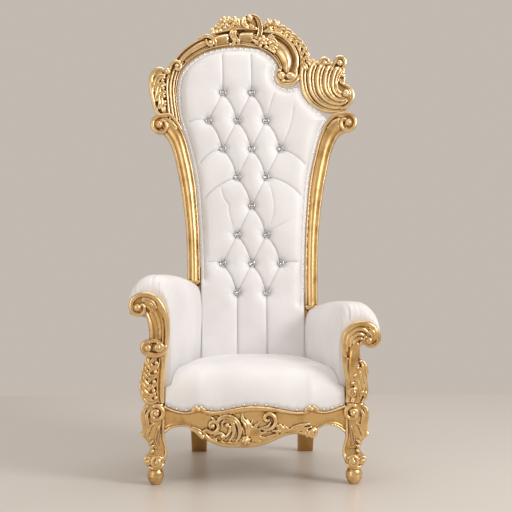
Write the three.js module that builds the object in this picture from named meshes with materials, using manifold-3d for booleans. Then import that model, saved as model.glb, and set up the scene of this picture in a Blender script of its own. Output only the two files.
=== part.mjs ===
// A tall-backed carved throne: gilded frame, tufted leather back, rolled arms and a domed seat.
// Millimetres, +Z up. The front faces -Y and +X is on the right of someone looking at the front.
import * as THREE from "three";
import { mergeVertices } from "three/addons/utils/BufferGeometryUtils.js";
import Module from "manifold-3d";

const wasm = await Module();
wasm.setup();

// ---- driving dimensions ---------------------------------------------------------------------

const GAP = 0.4; // clearance between pieces that touch
const BACK_LEAN = THREE.MathUtils.degToRad(8);
const BACK_PIVOT = { y: 150, z: 430 }; // where the back's front plane meets the seat

const FRAME_REAR = 36; // depth of the back frame behind its front plane
const FRAME_FRONT = 6; // the ornament stands on a ground this far in front of that plane
const CREST_TOP = 1850; // heights on the back are measured along it, from the floor
const STILE = { inner: 212, outer: 262 }; // the plain stiles that carry the posts
const STILE_BOTTOM = 353;
const LEFT_POST_FOOT = 715;
const RIGHT_POST_FOOT = 612;

const TUFT_CENTRE = -3; // the middle column of buttons
const TUFT_TOP = 1506; // the highest row of buttons
const TUFT_PITCH_X = 119;
const TUFT_PITCH_Z = 119.3;
const BUTTON_RADIUS = 12;
const CUSHION_FRONT = -24; // how far the tufted back stands forward
const CUSHION_REAR = 8;
const PANEL_REAR = 34;
const DIMPLE_DEPTH = 16;
const BUTTON_HEIGHT = 7;

const CUSHION_EASE = 0.5;
const CARVING_EASE = 1.6; // carving is smoothed out where it stands less than this from flat

const FRONT_Y = -355; // the plane of the carved arm fronts and of the front rail's ends
const APRON_BOW = 22; // how far the middle of the front rail bows forward
const APRON_REAR = 28;
const LEG_TOP = 297;
const ANKLE = 62; // the ball feet reach up to here
const FOOT = { x: 361, y: -338 };
const RAIL_BOTTOM = 216;
const REAR_RAIL_TOP = 345;
const REAR_RAIL = { front: 137, rear: 190 };
const REAR_FOOT = { x: 222, y: 298, half: 26 };
const REAR_LEG_TOP = { x: 218, y: 164, half: 31 };
const SEAT_BOTTOM = 262;
const PAD_FRONT = -326; // the arm pads' front face, behind the carved arm fronts
const LEFT_ARM_TOP = 760;
const RIGHT_ARM_TOP = 660; // the right arm stands a hand's width lower than the left
const ARM_FALL = 30; // how far the arm's top drops towards the back

const GOLD = new THREE.MeshStandardMaterial({ color: 0xd6a95c, roughness: 0.32, metalness: 0.9 });
const LEATHER = new THREE.MeshStandardMaterial({ color: 0xf2eeea, roughness: 0.48, metalness: 0 });
const CRYSTAL = new THREE.MeshStandardMaterial({ color: 0xdfe3e8, roughness: 0.08, metalness: 0.1 });

// ---- solids ---------------------------------------------------------------------------------

/** Six times the volume that the triangles enclose; negative when they face inwards. */
function enclosed(points, corners) {
  let total = 0;
  const [a, b, c] = [new THREE.Vector3(), new THREE.Vector3(), new THREE.Vector3()];
  for (let i = 0; i < corners.length; i += 3) {
    a.fromArray(points, corners[i] * 3);
    b.fromArray(points, corners[i + 1] * 3);
    c.fromArray(points, corners[i + 2] * 3);
    total += a.dot(b.cross(c));
  }
  return total;
}

/** A closed geometry as a solid that can be joined and cut. */
function solid(geometry) {
  geometry.deleteAttribute("normal");
  geometry.deleteAttribute("uv");
  const welded = mergeVertices(geometry, 1e-3);
  const points = Float32Array.from(welded.attributes.position.array);
  const corners = [];
  const index = welded.index.array;
  for (let i = 0; i < index.length; i += 3) {
    const [a, b, c] = [index[i], index[i + 1], index[i + 2]];
    if (a !== b && b !== c && a !== c) corners.push(a, b, c);
  }
  if (enclosed(points, corners) < 0) corners.reverse();
  const triVerts = Uint32Array.from(corners);
  return new wasm.Manifold(new wasm.Mesh({ numProp: 3, vertProperties: points, triVerts }));
}

const joined = (solids) => solids.reduce((whole, part) => whole.add(part));

/** The triangles of each separate shell. */
function shells(corners, pointCount) {
  const owner = Array.from({ length: pointCount }, (_, i) => i);
  const root = (i) => {
    while (owner[i] !== i) i = owner[i] = owner[owner[i]];
    return i;
  };
  for (let i = 0; i < corners.length; i += 3) {
    owner[root(corners[i])] = root(corners[i + 1]);
    owner[root(corners[i + 1])] = root(corners[i + 2]);
  }
  const found = new Map();
  for (let i = 0; i < corners.length; i += 3) {
    const key = root(corners[i]);
    if (!found.has(key)) found.set(key, []);
    found.get(key).push(corners[i], corners[i + 1], corners[i + 2]);
  }
  return [...found.values()];
}

/** The solid's triangles as a geometry, with any sealed hollow between its parts filled in. */
function geometryOf(body) {
  const mesh = body.getMesh();
  const loose = new THREE.BufferGeometry();
  loose.setAttribute("position", new THREE.BufferAttribute(Float32Array.from(mesh.vertProperties), 3));
  loose.setIndex(Array.from(mesh.triVerts));
  const geometry = mergeVertices(loose, 1e-4);
  const points = geometry.attributes.position.array;
  const outside = shells(geometry.index.array, points.length / 3)
    .filter((shell) => enclosed(points, shell) > 0);
  geometry.setIndex(outside.flat());
  geometry.computeVertexNormals();
  return geometry;
}

/**
 * The same surface with fewer triangles: a point moves onto a neighbour wherever that leaves every
 * plane around it closer than `tolerance`, turns no triangle over and keeps the surface closed.
 */
function eased(body, tolerance) {
  const geometry = geometryOf(body);
  const source = geometry.attributes.position;
  const pointAt = (_, i) => new THREE.Vector3().fromBufferAttribute(source, i);
  const points = Array.from({ length: source.count }, pointAt);
  const faces = [];
  for (let i = 0; i < geometry.index.count; i += 3) {
    faces.push(Array.from(geometry.index.array.slice(i, i + 3)));
  }
  const around = points.map(() => new Set());
  faces.forEach((face, i) => face.forEach((corner) => around[corner].add(i)));
  const neighbours = (v) => new Set([...around[v]].flatMap((i) => faces[i]).filter((other) => other !== v));
  const planeOf = (corners) => new THREE.Plane().setFromCoplanarPoints(...corners.map((i) => points[i]));
  const spanOf = (corners) => new THREE.Triangle(...corners.map((i) => points[i])).getArea();
  const costOf = (v, w) => {
    let worst = 0;
    for (const i of around[v]) {
      const old = planeOf(faces[i]);
      worst = Math.max(worst, Math.abs(old.distanceToPoint(points[w])));
      if (worst > tolerance) return Infinity;
      if (faces[i].includes(w)) continue;
      const next = faces[i].map((corner) => (corner === v ? w : corner));
      if (spanOf(next) < 0.02 || planeOf(next).normal.dot(old.normal) < 0.4) return Infinity;
    }
    return worst;
  };
  for (let pass = 0; pass < 4; pass += 1) {
    for (let v = 0; v < points.length; v += 1) {
      if (!around[v].size) continue;
      const near = neighbours(v);
      let [best, target] = [Infinity, -1];
      for (const w of near) {
        const shared = [...neighbours(w)].filter((other) => near.has(other)).length;
        const cost = shared === 2 ? costOf(v, w) : Infinity;
        if (cost < best) [best, target] = [cost, w];
      }
      if (target < 0) continue;
      for (const i of around[v]) {
        const gone = faces[i].includes(target);
        faces[i].forEach((corner) => gone && around[corner].delete(i));
        if (gone) faces[i] = null;
        else faces[i] = faces[i].map((corner) => (corner === v ? target : corner));
        if (!gone) around[target].add(i);
      }
      around[v] = new Set();
    }
  }
  geometry.setIndex(faces.filter(Boolean).flat());
  return solid(geometry);
}

/** The first solid cut back until it stands clear of the others. */
function clearOf(body, ...others) {
  const shifts = [[GAP, 0, 0], [-GAP, 0, 0], [0, GAP, 0], [0, -GAP, 0], [0, 0, GAP], [0, 0, -GAP]];
  const moved = (other, shift) => solid(geometryOf(other).translate(...shift));
  const copies = others.flatMap((other) => shifts.map((shift) => moved(other, shift)));
  return copies.reduce((rest, copy) => rest.subtract(copy), body);
}

/** Adds a solid to a group as one named sub-part. */
function addPiece(group, name, material, body) {
  const mesh = new THREE.Mesh(geometryOf(body), material);
  mesh.name = name;
  group.add(mesh);
  return mesh;
}

// ---- shapes ---------------------------------------------------------------------------------

/** A smooth curve through [x, z] or [x, z, y] points. */
function curve(points, closed = false) {
  const through = points.map(([x, z, y = 0]) => new THREE.Vector3(x, y, z));
  return new THREE.CatmullRomCurve3(through, closed, "centripetal");
}

/** The value at `along` (0 to 1) of a list of evenly spaced values. */
function blend(values, along) {
  if (!Array.isArray(values)) return values;
  const place = Math.min(Math.max(along, 0), 1) * (values.length - 1);
  const left = Math.min(Math.floor(place), values.length - 2);
  return THREE.MathUtils.lerp(values[left], values[left + 1], place - left);
}

/** The mean of a list of [u, v] corners. */
const meanOf = (corners) =>
  [0, 1].map((k) => corners.reduce((sum, corner) => sum + corner[k], 0) / corners.length);

/**
 * Sweeps a section of [u, v] corners; place(u, v, along) gives each corner's point. The end caps
 * fan out from `middle`, which sees every corner of the section.
 */
function loft(section, steps, place, middle = meanOf(section)) {
  const count = section.length;
  const geometry = new THREE.CylinderGeometry(1, 1, 1, count, steps);
  const position = geometry.attributes.position;
  for (let i = 0; i < position.count; i += 1) {
    const [x, z] = [position.getX(i), position.getZ(i)];
    const turn = Math.round((Math.atan2(x, z) / (2 * Math.PI)) * count);
    const [u, v] = Math.hypot(x, z) < 0.5 ? middle : section[(turn + count) % count];
    const point = place(u, v, position.getY(i) + 0.5);
    position.setXYZ(i, point.x, point.y, point.z);
  }
  return solid(geometry);
}

/** Corners on a circle of radius one, the first of them to the front. */
function circle(sides) {
  return Array.from({ length: sides }, (_, i) => {
    const angle = (0.5 + i / sides) * 2 * Math.PI;
    return [Math.sin(angle), Math.cos(angle)];
  });
}

/** A tapering bar along a curve in the front plane; it is `flat` times as deep as it is wide. */
function bar(points, radii, { sides = 4, steps = 5, flat = 1, ground = () => 0 } = {}) {
  const line = curve(points);
  return loft(circle(sides), steps, (u, v, along) => {
    const point = line.getPointAt(along);
    const tangent = line.getTangentAt(along);
    const radius = blend(radii, along);
    const across = new THREE.Vector3(-tangent.z, 0, tangent.x).normalize();
    point.addScaledVector(across, u * radius);
    point.y += ground(point.x) + v * radius * flat;
    return point;
  });
}

/** A moulding between two edge curves. The profile lists [0..1 across, height to the front]. */
function ribbon(inner, outer, profile, { steps, rear = FRAME_REAR, ground = () => 0 }) {
  const [innerEdge, outerEdge] = [curve(inner), curve(outer)];
  const section = [...profile, [1, -rear], [0, -rear]];
  return loft(section, steps, (u, v, along) => {
    const point = innerEdge.getPoint(along).lerp(outerEdge.getPoint(along), u);
    point.y += ground(point.x) - v;
    return point;
  });
}

/**
 * A flat plate inside a smooth outline, between two depths, its edges eased. An outline that isn't
 * closed is a curve whose ends a straight edge joins.
 */
function plate(outline, front, rear, { count = 24, ease = 2, closed = true } = {}) {
  const corners = curve(outline, closed).getSpacedPoints(count).slice(0, closed ? -1 : undefined);
  const shape = new THREE.Shape(corners.map((point) => new THREE.Vector2(point.x, point.z)));
  const geometry = new THREE.ExtrudeGeometry(shape, {
    depth: rear - front - 2 * ease,
    bevelThickness: ease,
    bevelSize: ease,
    bevelOffset: -ease,
    bevelSegments: 1,
    curveSegments: 1,
  });
  geometry.rotateX(Math.PI / 2);
  geometry.translate(0, rear - ease, 0);
  return solid(geometry);
}

/** A square block between two corners. */
function block([xa, ya, za], [xb, yb, zb]) {
  const geometry = new THREE.BoxGeometry(xb - xa, yb - ya, zb - za);
  geometry.translate((xa + xb) / 2, (ya + yb) / 2, (za + zb) / 2);
  return solid(geometry);
}

/** A bead, or with `detail` 1 a rounder one, half sunk in the ground at depth y. */
function bead(x, z, radius, { y = -FRAME_FRONT, detail = 0, flat = 1 } = {}) {
  const geometry = new THREE.IcosahedronGeometry(radius, detail);
  geometry.scale(1, flat, 1);
  geometry.translate(x, y, z);
  return solid(geometry);
}

/** A five-petalled flower: a low dome with a waved rim. */
function blossom(x, z, radius, { y = -FRAME_FRONT, petals = 5 } = {}) {
  const section = Array.from({ length: petals * 2 }, (_, i) => {
    const reach = i % 2 ? 0.7 : 1;
    const angle = (i / (petals * 2)) * 2 * Math.PI;
    return [Math.sin(angle) * reach, Math.cos(angle) * reach];
  });
  const spread = [0.8, 1, 0.35];
  return loft(section, 2, (u, v, along) => {
    const size = radius * blend(spread, along);
    return new THREE.Vector3(x + u * size, y + radius * (0.4 - 1.15 * along), z + v * size);
  });
}

/** Points of a volute that winds from its outer to its inner radius; turns < 0 is clockwise. */
function volute(x, z, outer, inner, start, turns) {
  const count = Math.ceil(Math.abs(turns) * 8);
  return Array.from({ length: count + 1 }, (_, i) => {
    const along = i / count;
    const angle = THREE.MathUtils.degToRad(start + turns * 360 * along);
    const radius = THREE.MathUtils.lerp(outer, inner, along);
    return [x + radius * Math.cos(angle), z + radius * Math.sin(angle)];
  });
}

/** The same points set back or forward to depth y. */
const atDepth = (points, y) => points.map(([x, z]) => [x, z, y]);

// ---- the back: posts ------------------------------------------------------------------------

// Heights of the fluted moulding across a post, from the cushion outwards.
const POST_PROFILE = [[0, 5], [0.14, 11], [0.28, 3], [0.54, 16], [0.76, 3], [0.88, 12], [1, 4]];
const POST_INNER = [
  [214, 740], [218, 900], [223, 1010], [229, 1110], [250, 1225], [286, 1350], [344, 1411],
];
const POST_OUTER = [
  [267, 736], [272, 899], [281, 1030], [296, 1146], [322, 1263], [352, 1325], [392, 1345],
];
const POST_VOLUTE = { x: 396, z: 1378 };

/** The right post: a carved moulding above the arm, on a plain stile down to the rear leg. */
function backPost(foot) {
  const shaft = ribbon([[214, foot], ...POST_INNER], [[267, foot], ...POST_OUTER],
    POST_PROFILE, { steps: 8 });
  const { x, z } = POST_VOLUTE;
  const scroll = atDepth(volute(x, z, 31, 11, 150, -1.3), -4);
  const ground = plate(volute(x, z, 32, 32, 0, 0.875), -2, FRAME_REAR - 2, { count: 12 });
  const tip = bar([[225, foot + 10, 8], [240, foot - 8, 8], [256, foot + 10, 8]], [8, 12, 8], { steps: 4 });
  return joined([
    shaft,
    ground,
    bar(scroll, [11, 10, 9, 8, 7], { steps: 9 }),
    bead(x, z, 12, { y: -6, flat: 0.9 }),
    tip,
    block([STILE.inner, 2, STILE_BOTTOM], [STILE.outer, FRAME_REAR - 2, foot + 60]),
  ]);
}

// ---- the back: crest ------------------------------------------------------------------------

const CREST_PROFILE = [[0, 4], [0.14, 11], [0.3, 2], [0.58, 15], [0.8, 3], [0.92, 13], [1, 4]];

/** The moulded rail over the left shoulder and along the top. */
function crestRail() {
  const inner = [
    [-296, 1376], [-314, 1470], [-314, 1540], [-297, 1598], [-258, 1646], [-200, 1682],
    [-130, 1702], [-52, 1708], [36, 1696],
  ];
  const outer = [
    [-340, 1376], [-345, 1470], [-352, 1550], [-333, 1622], [-284, 1688], [-216, 1737],
    [-140, 1756], [-52, 1766], [42, 1756],
  ];
  return ribbon(inner, outer, CREST_PROFILE, { steps: 12 });
}

/** The collar, the clasp of leaves and the small volute that break the rail up. */
function crestBands() {
  return [
    bar([[-168, 1692, -4], [-176, 1720, -10], [-200, 1744, -4]], [8, 11, 9], { steps: 2 }),
    bar([[-84, 1708, -4], [-90, 1735, -10], [-84, 1766, -4]], [9, 11, 9], { steps: 2 }),
    bar([[-66, 1708, -4], [-60, 1735, -10], [-66, 1766, -4]], [9, 11, 9], { steps: 2 }),
    bar(atDepth(volute(-322, 1619, 18, 7, 60, 1.1), -6), [8, 6], { steps: 5 }),
    bead(-322, 1619, 10, { y: -6 }),
  ];
}

/** The leafy ornament that stands on the left shoulder. */
function leftShoulder() {
  const outline = [
    [-387, 1620], [-418, 1600], [-431, 1560], [-430, 1515], [-418, 1462], [-400, 1412],
    [-345, 1390], [-340, 1500], [-338, 1600], [-365, 1606],
  ];
  const leaf = (points, radii, steps = 4) => bar(atDepth(points, -8), radii, { steps });
  return [
    plate(outline, -FRAME_FRONT, FRAME_REAR - 6, { count: 16, ease: 4 }),
    leaf([[-412, 1572], [-418, 1598], [-392, 1613], [-370, 1602], [-374, 1586]], [5, 9, 10, 9, 6], 5),
    leaf([[-366, 1566], [-398, 1566], [-418, 1552], [-420, 1500], [-402, 1440]], [6, 10, 9, 8, 5], 5),
    leaf([[-364, 1545], [-392, 1538], [-400, 1508], [-384, 1486]], [5, 9, 8, 5]),
    leaf([[-362, 1520], [-378, 1508], [-374, 1478], [-386, 1450], [-368, 1424]], [5, 8, 6, 9, 5], 5),
    bead(-354, 1595, 13, { y: -8 }),
  ];
}

/** The flowers left of the middle, on their own ground. */
function leftFlowers() {
  const outline = [
    [-162, 1752], [-158, 1785], [-136, 1805], [-124, 1828], [-96, 1828], [-66, 1824], [-40, 1812],
    [-30, 1760], [-100, 1756],
  ];
  const flowers = [
    [-118, 1818, 17], [-82, 1816, 17], [-52, 1808, 13], [-140, 1790, 14], [-103, 1792, 13],
  ];
  const berries = [
    [-158, 1766, 8], [-146, 1772, 7], [-70, 1795, 9], [-88, 1792, 7], [-46, 1790, 8],
    [-122, 1795, 6],
  ];
  return [
    plate(outline, -4, FRAME_REAR - 8, { count: 14, ease: 3 }),
    ...flowers.map(([x, z, radius]) => blossom(x, z, radius)),
    ...berries.map(([x, z, radius]) => bead(x, z, radius)),
    bar([[-146, 1765, -5], [-90, 1777, -6], [-40, 1778, -6], [14, 1774, -5]], [5, 6, 6, 5], { steps: 3 }),
  ];
}

/** The great C-scroll that crowns the middle. */
function middleScroll() {
  const ground = [
    [-40, 1760], [-38, 1815], [-10, 1836], [22, 1828], [40, 1800], [44, 1750], [0, 1720],
    [-40, 1716],
  ];
  const sweep = [
    [-24, 1796, -6], [-34, 1816, -8], [-14, CREST_TOP - 13, -8], [16, CREST_TOP - 16, -8],
    [38, 1808, -8], [39, 1776, -8], [22, 1746, -7], [-10, 1724, -5],
  ];
  const inner = [
    [-2, 1818, -8], [16, 1806, -7], [20, 1782, -6], [10, 1758, -5], [-14, 1742, -4],
    [-50, 1736, -3],
  ];
  return [
    plate(ground, 2, FRAME_REAR - 4, { count: 12, ease: 3 }),
    bar(sweep, [13, 14, 12, 12, 11, 10, 8, 5], { steps: 10, sides: 6 }),
    bar(inner, [8, 6, 6, 5, 5, 3], { steps: 6 }),
    bead(-14, 1822, 13, { y: -12 }),
  ];
}

/** The large smooth scroll right of the middle, with its rims, roses and garland. */
function rightScroll() {
  const inner = [[22, 1699], [58, 1680], [90, 1652], [108, 1618], [110, 1585]];
  const outer = [[46, 1762], [106, 1748], [158, 1708], [184, 1646], [166, 1580]];
  const profile = [[0, 3], [0.09, 10], [0.2, 3], [0.5, 16], [0.84, 8], [1, 4]];
  const ground = [
    [40, 1700], [92, 1655], [112, 1610], [101, 1572], [115, 1543], [150, 1533], [192, 1545],
    [214, 1580], [220, 1640], [236, 1660], [212, 1710], [160, 1758], [112, 1796], [70, 1816],
    [46, 1806], [40, 1752],
  ];
  const rim = [
    [60, 1770, -4], [118, 1757, -4], [168, 1722, -5], [194, 1672, -6], [198, 1625, -7],
    [190, 1584, -8], [164, 1562, -8], [144, 1574, -8],
  ];
  const lip = [
    [112, 1606, -4], [104, 1576, -6], [112, 1550, -8], [142, 1540, -8], [176, 1543, -8],
    [200, 1566, -6],
  ];
  const garland = [
    [104, 1778, -5], [138, 1764, -6], [168, 1738, -6], [196, 1706, -6], [214, 1672, -6],
    [222, 1644, -5],
  ];
  const beads = [[66, 1808, 13], [94, 1803, 14], [74, 1778, 12], [103, 1776, 12], [122, 1757, 9]];
  const leaves = 6;
  const line = curve(garland);
  const leaf = (i) => {
    const root = line.getPointAt((i + 0.3) / leaves);
    const way = line.getTangentAt((i + 0.3) / leaves);
    const tip = [root.x + way.x * 22 - way.z * 12, root.z + way.z * 22 + way.x * 12, -5];
    return bar([[root.x, root.z, -10], tip], [7, 9, 4], { steps: 2 });
  };
  return [
    plate(ground, 2, FRAME_REAR - 2, { count: 22, ease: 3 }),
    ribbon(inner, outer, profile, { steps: 6 }),
    bar(rim, [5, 6, 7, 8, 8, 8, 8, 6], { steps: 9 }),
    bar(lip, [7, 8, 9, 9, 8, 5], { steps: 6 }),
    bar(garland, [9, 12, 13, 13, 12, 9], { steps: 5, flat: 0.9 }),
    ...Array.from({ length: leaves }, (_, i) => leaf(i)),
    ...beads.map(([x, z, radius]) => bead(x, z, radius)),
    blossom(46, 1726, 21, { y: -10 }),
    blossom(90, 1700, 15, { y: -12 }),
    bead(104, 1678, 9, { y: -10 }),
    bead(118, 1592, 11, { y: -8 }),
    bead(130, 1562, 12, { y: -8 }),
    bead(160, 1577, 14, { y: -10 }),
  ];
}

/** The ribbed shell on the right shoulder: nested arcs that gather at a ball. */
function rightShell() {
  const outline = [
    [222, 1626], [204, 1590], [206, 1530], [236, 1474], [286, 1434], [345, 1420], [400, 1440],
    [420, 1480], [416, 1520], [394, 1548], [396, 1590], [388, 1638], [345, 1646], [300, 1640],
    [258, 1630],
  ];
  const ribs = 5;
  const rib = (k) => {
    const share = k / (ribs - 1);
    const left = THREE.MathUtils.lerp(215, 344, share);
    const top = THREE.MathUtils.lerp(1642, 1558, share);
    const bottom = THREE.MathUtils.lerp(1427, 1492, share);
    const middle = THREE.MathUtils.lerp(348, 368, share);
    const [wide, high] = [middle - left, (top - bottom) / 2];
    const points = Array.from({ length: 9 }, (_, i) => {
      const angle = THREE.MathUtils.degToRad(THREE.MathUtils.lerp(k ? 72 : 118, 300, i / 8));
      return [middle + wide * Math.cos(angle), (top + bottom) / 2 + high * Math.sin(angle), -4 - 3 * k];
    });
    const radius = THREE.MathUtils.lerp(13, 9, share);
    return bar(points, [radius * 0.6, radius, radius, radius * 0.8], { steps: 8 });
  };
  const beads = [
    [367, 1634, 21], [378, 1590, 16], [384, 1556, 14], [308, 1636, 14], [246, 1622, 12],
    [334, 1642, 9],
  ];
  return [
    plate(outline, 0, FRAME_REAR - 2, { count: 20, ease: 4 }),
    ...Array.from({ length: ribs }, (_, k) => rib(k)),
    ...beads.map(([x, z, radius]) => bead(x, z, radius, { detail: radius > 18 ? 1 : 0 })),
    bar(atDepth(volute(394, 1502, 24, 10, -120, 1.2), -10), [9, 10, 9, 6], { steps: 6 }),
    bead(392, 1503, 15, { y: -16 }),
  ];
}

// ---- the back: upholstery -------------------------------------------------------------------

// Right and left edges of the upholstered back, from the seat up to the crest.
const CUSHION_RIGHT = [
  [205, STILE_BOTTOM], [209, 740], [214, 900], [219, 1010], [225, 1110], [246, 1228], [280, 1352],
  [303, 1394], [280, 1420], [240, 1456], [205, 1508], [192, 1526], [140, 1522], [98, 1548],
  [92, 1590], [98, 1622], [74, 1660], [24, 1692],
];
const CUSHION_LEFT = [
  [-50, 1700], [-128, 1694], [-198, 1674], [-252, 1638], [-290, 1593], [-307, 1538], [-308, 1480],
  [-298, 1400], [-280, 1352], [-246, 1228], [-225, 1110], [-219, 1010], [-214, 900], [-209, 740],
  [-205, STILE_BOTTOM],
];

/** Centres of the buttons: rows one pitch apart, every other row moved half a pitch. */
function buttonPlaces() {
  const rows = [[-1, 0], [-1.5, 0.5], [-1, 1], [-0.5, 0.5], [0, 0], [-0.5, 0.5], [-1, 1], [-0.5, 0.5]];
  return rows.flatMap(([first, last], row) => {
    const columns = Array.from({ length: last - first + 1 }, (_, i) => first + i);
    return columns.map((column) => [TUFT_CENTRE + column * TUFT_PITCH_X, TUFT_TOP - row * TUFT_PITCH_Z]);
  });
}

/** Ends of the diagonal creases that join neighbouring buttons. */
function creases(places) {
  const below = ([xa, za], [xb, zb]) =>
    Math.abs(Math.abs(xa - xb) - TUFT_PITCH_X / 2) < 1 && Math.abs(za - zb - TUFT_PITCH_Z) < 1;
  return places.flatMap((upper) =>
    places.filter((lower) => below(upper, lower)).map((lower) => [upper, lower]));
}

/** The tufted back: a slab with creases and a dimple under each button. */
function tuftedBack(places) {
  const outline = [...CUSHION_RIGHT, ...CUSHION_LEFT];
  const slab = plate(outline, CUSHION_FRONT, CUSHION_REAR, { count: 60, ease: 9, closed: false });
  const folds = creases(places).map((ends) => bar(atDepth(ends, CUSHION_FRONT), 7, { sides: 4, steps: 1 }));
  const dimples = places.map(([x, z]) => {
    const pit = new THREE.CylinderGeometry(BUTTON_RADIUS + 2.5, 22, 2 * DIMPLE_DEPTH, 6);
    pit.translate(x, CUSHION_FRONT, z);
    return solid(pit);
  });
  return eased(slab.subtract(joined([...folds, ...dimples])), CUSHION_EASE);
}

/** A cut-crystal button at the bottom of its dimple, its smaller face to the front. */
function buttonSolid([x, z]) {
  const geometry = new THREE.CylinderGeometry(BUTTON_RADIUS, 7, BUTTON_HEIGHT, 8);
  geometry.translate(x, CUSHION_FRONT + DIMPLE_DEPTH - GAP - BUTTON_HEIGHT / 2, z);
  return solid(geometry);
}

/** The upholstered board behind the cushion. */
function backPanel() {
  return plate([...CUSHION_RIGHT, ...CUSHION_LEFT],
    CUSHION_REAR + GAP, PANEL_REAR, { count: 40, ease: 3, closed: false });
}

// ---- legs and rails -------------------------------------------------------------------------

// A rounded square; corners run from 0 to 1 across and from 0 (front) to 1 (rear).
const POST_SECTION = [[0.2, 0], [0.8, 0], [1, 0.22], [1, 0.8], [0.8, 1], [0.2, 1], [0, 0.8], [0, 0.22]];
const BOX_SECTION = [[0, 0], [1, 0], [1, 1], [0, 1]];

// Front leg from the ankle up: height, inner and outer edge, front and rear face.
const LEG_STATIONS = [
  [62, 337, 386, -354, -322], [72, 330, 399, -368, -314], [86, 325, 405, -374, -308],
  [101, 320, 401, -371, -306], [113, 319, 389, -360, -306], [128, 321, 381, -352, -306],
  [148, 326, 387, -356, -305], [166, 330, 400, -363, -303], [182, 329, 410, -368, -300],
  [212, 329, 407, -372, -298], [245, 329, 410, -378, -298], [276, 329, 408, -376, -298],
  [297, 329, 397, -366, -298],
];

/** A carved front leg for the right side, on its ball foot. */
function frontLeg() {
  const last = LEG_STATIONS.length - 1;
  const station = (along, k) => blend(LEG_STATIONS.map((values) => values[k]), along);
  const shank = loft(POST_SECTION, last, (u, v, along) => new THREE.Vector3(
    THREE.MathUtils.lerp(station(along, 1), station(along, 2), u),
    THREE.MathUtils.lerp(station(along, 3), station(along, 4), v),
    station(along, 0),
  ));
  const profile = [[0, 0], [15.5, 0], [28, 19], [31, 38], [24, ANKLE + 3], [0, ANKLE + 3]];
  const ball = new THREE.LatheGeometry(profile.map(([x, y]) => new THREE.Vector2(x, y)), 10);
  ball.rotateX(Math.PI / 2);
  ball.translate(FOOT.x, FOOT.y, 0);
  const strip = [
    [338, 250, -374], [340, 205, -370], [342, 172, -364], [338, 148, -356], [331, 122, -352],
    [330, 96, -364],
  ];
  const leaf = [
    [404, 236, -376], [402, 205, -372], [405, 182, -370], [392, 163, -364], [378, 140, -356],
    [372, 118, -356],
  ];
  return joined([
    shank,
    solid(ball),
    bar(atDepth(volute(352, 262, 32, 9, 40, 1.2), -376), [9, 9, 8, 6], { steps: 7 }),
    bead(346, 258, 12, { y: -380 }),
    bar(strip, [5, 6, 6, 6, 6, 5]),
    bar(leaf, [7, 7, 8, 7, 6, 5]),
    bar(atDepth(volute(357, 84, 20, 7, 150, -1.1), -374), [8, 8, 7], { steps: 5 }),
    bead(357, 84, 10, { y: -378 }),
    bead(391, 86, 16, { y: -366 }),
  ]);
}

/** The y of a rear leg's middle at a height: it sweeps back towards the floor. */
const rearLegY = (z) =>
  THREE.MathUtils.lerp(REAR_LEG_TOP.y, REAR_FOOT.y, Math.max(0, 1 - z / REAR_RAIL_TOP) ** 1.5);
const rearLegHalf = (z) => THREE.MathUtils.lerp(REAR_FOOT.half, REAR_LEG_TOP.half, z / REAR_RAIL_TOP);

/** A plain square rear leg for the right side. */
function rearLeg() {
  return loft(BOX_SECTION, 6, (u, v, along) => {
    const z = along * REAR_RAIL_TOP;
    const half = rearLegHalf(z);
    const x = THREE.MathUtils.lerp(REAR_FOOT.x, REAR_LEG_TOP.x, along) + (2 * u - 1) * half;
    return new THREE.Vector3(x, rearLegY(z) + (2 * v - 1) * half * 0.86, z);
  });
}

/** The inner face of the arms and side rails: they close in towards the back. */
const innerFace = (y) => THREE.MathUtils.mapLinear(y, -338, 120, 309, 210);
/** The y of the tufted back's front at a height. */
const backFace = (z) =>
  BACK_PIVOT.y + (z - BACK_PIVOT.z) * Math.tan(BACK_LEAN) + (CUSHION_FRONT - GAP) / Math.cos(BACK_LEAN);

/** The right side rail, from the front leg to the rear leg. */
function sideRail() {
  const front = -298 + GAP;
  return loft(BOX_SECTION, 1, (u, v, along) => {
    const z = THREE.MathUtils.lerp(RAIL_BOTTOM, LEG_TOP, v);
    const rear = rearLegY(z) - rearLegHalf(z) * 0.86 - 3;
    const y = THREE.MathUtils.lerp(front, rear, along);
    return new THREE.Vector3(innerFace(y) + GAP + u * THREE.MathUtils.lerp(44, 48, along), y, z);
  });
}

/** The rear rail between the rear legs. */
function rearRail() {
  return loft(BOX_SECTION, 1, (u, v, along) => {
    const z = THREE.MathUtils.lerp(RAIL_BOTTOM, REAR_RAIL_TOP, along);
    const width = REAR_LEG_TOP.x - rearLegHalf(z) - GAP - 4;
    const y = THREE.MathUtils.lerp(REAR_RAIL.front, REAR_RAIL.rear, v);
    return new THREE.Vector3((2 * u - 1) * width, y, z);
  });
}

// ---- front rail -----------------------------------------------------------------------------

/** How far the front rail's ground bows forward at x. */
const bow = (x) => FRONT_Y - APRON_BOW * Math.max(0, 1 - (x / 330) ** 2);

// The front rail from left to right: x, bottom edge, top edge.
const APRON_STATIONS = [
  [-328, 188, 291], [-306, 206, 278], [-259, 214, 267], [-226, 203, 271], [-201, 184, 281],
  [-172, 164, 271], [-131, 145, 271], [-65, 140, 283], [-8, 141, 290], [49, 156, 286],
  [95, 176, 276], [146, 187, 269], [197, 182, 281], [224, 203, 271], [256, 217, 268],
  [294, 211, 278], [328, 184, 291],
];
const APRON_PROFILE = [[0, 3], [0.1, 10], [0.22, 2], [0.82, 2], [0.93, 9], [1, 4]];
const apronBottom = APRON_STATIONS.map(([x, bottom]) => [x, bottom]);
const apronTop = APRON_STATIONS.map(([x, , top]) => [x, top]);

/** A stroke of relief on the bowed front rail. */
const relief = (points, radii, steps = 4) => bar(atDepth(points, -6), radii, { steps, ground: bow });
const knob = (x, z, radius, detail = 0) => bead(x, z, radius, { y: bow(x) - 6, detail });

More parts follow.
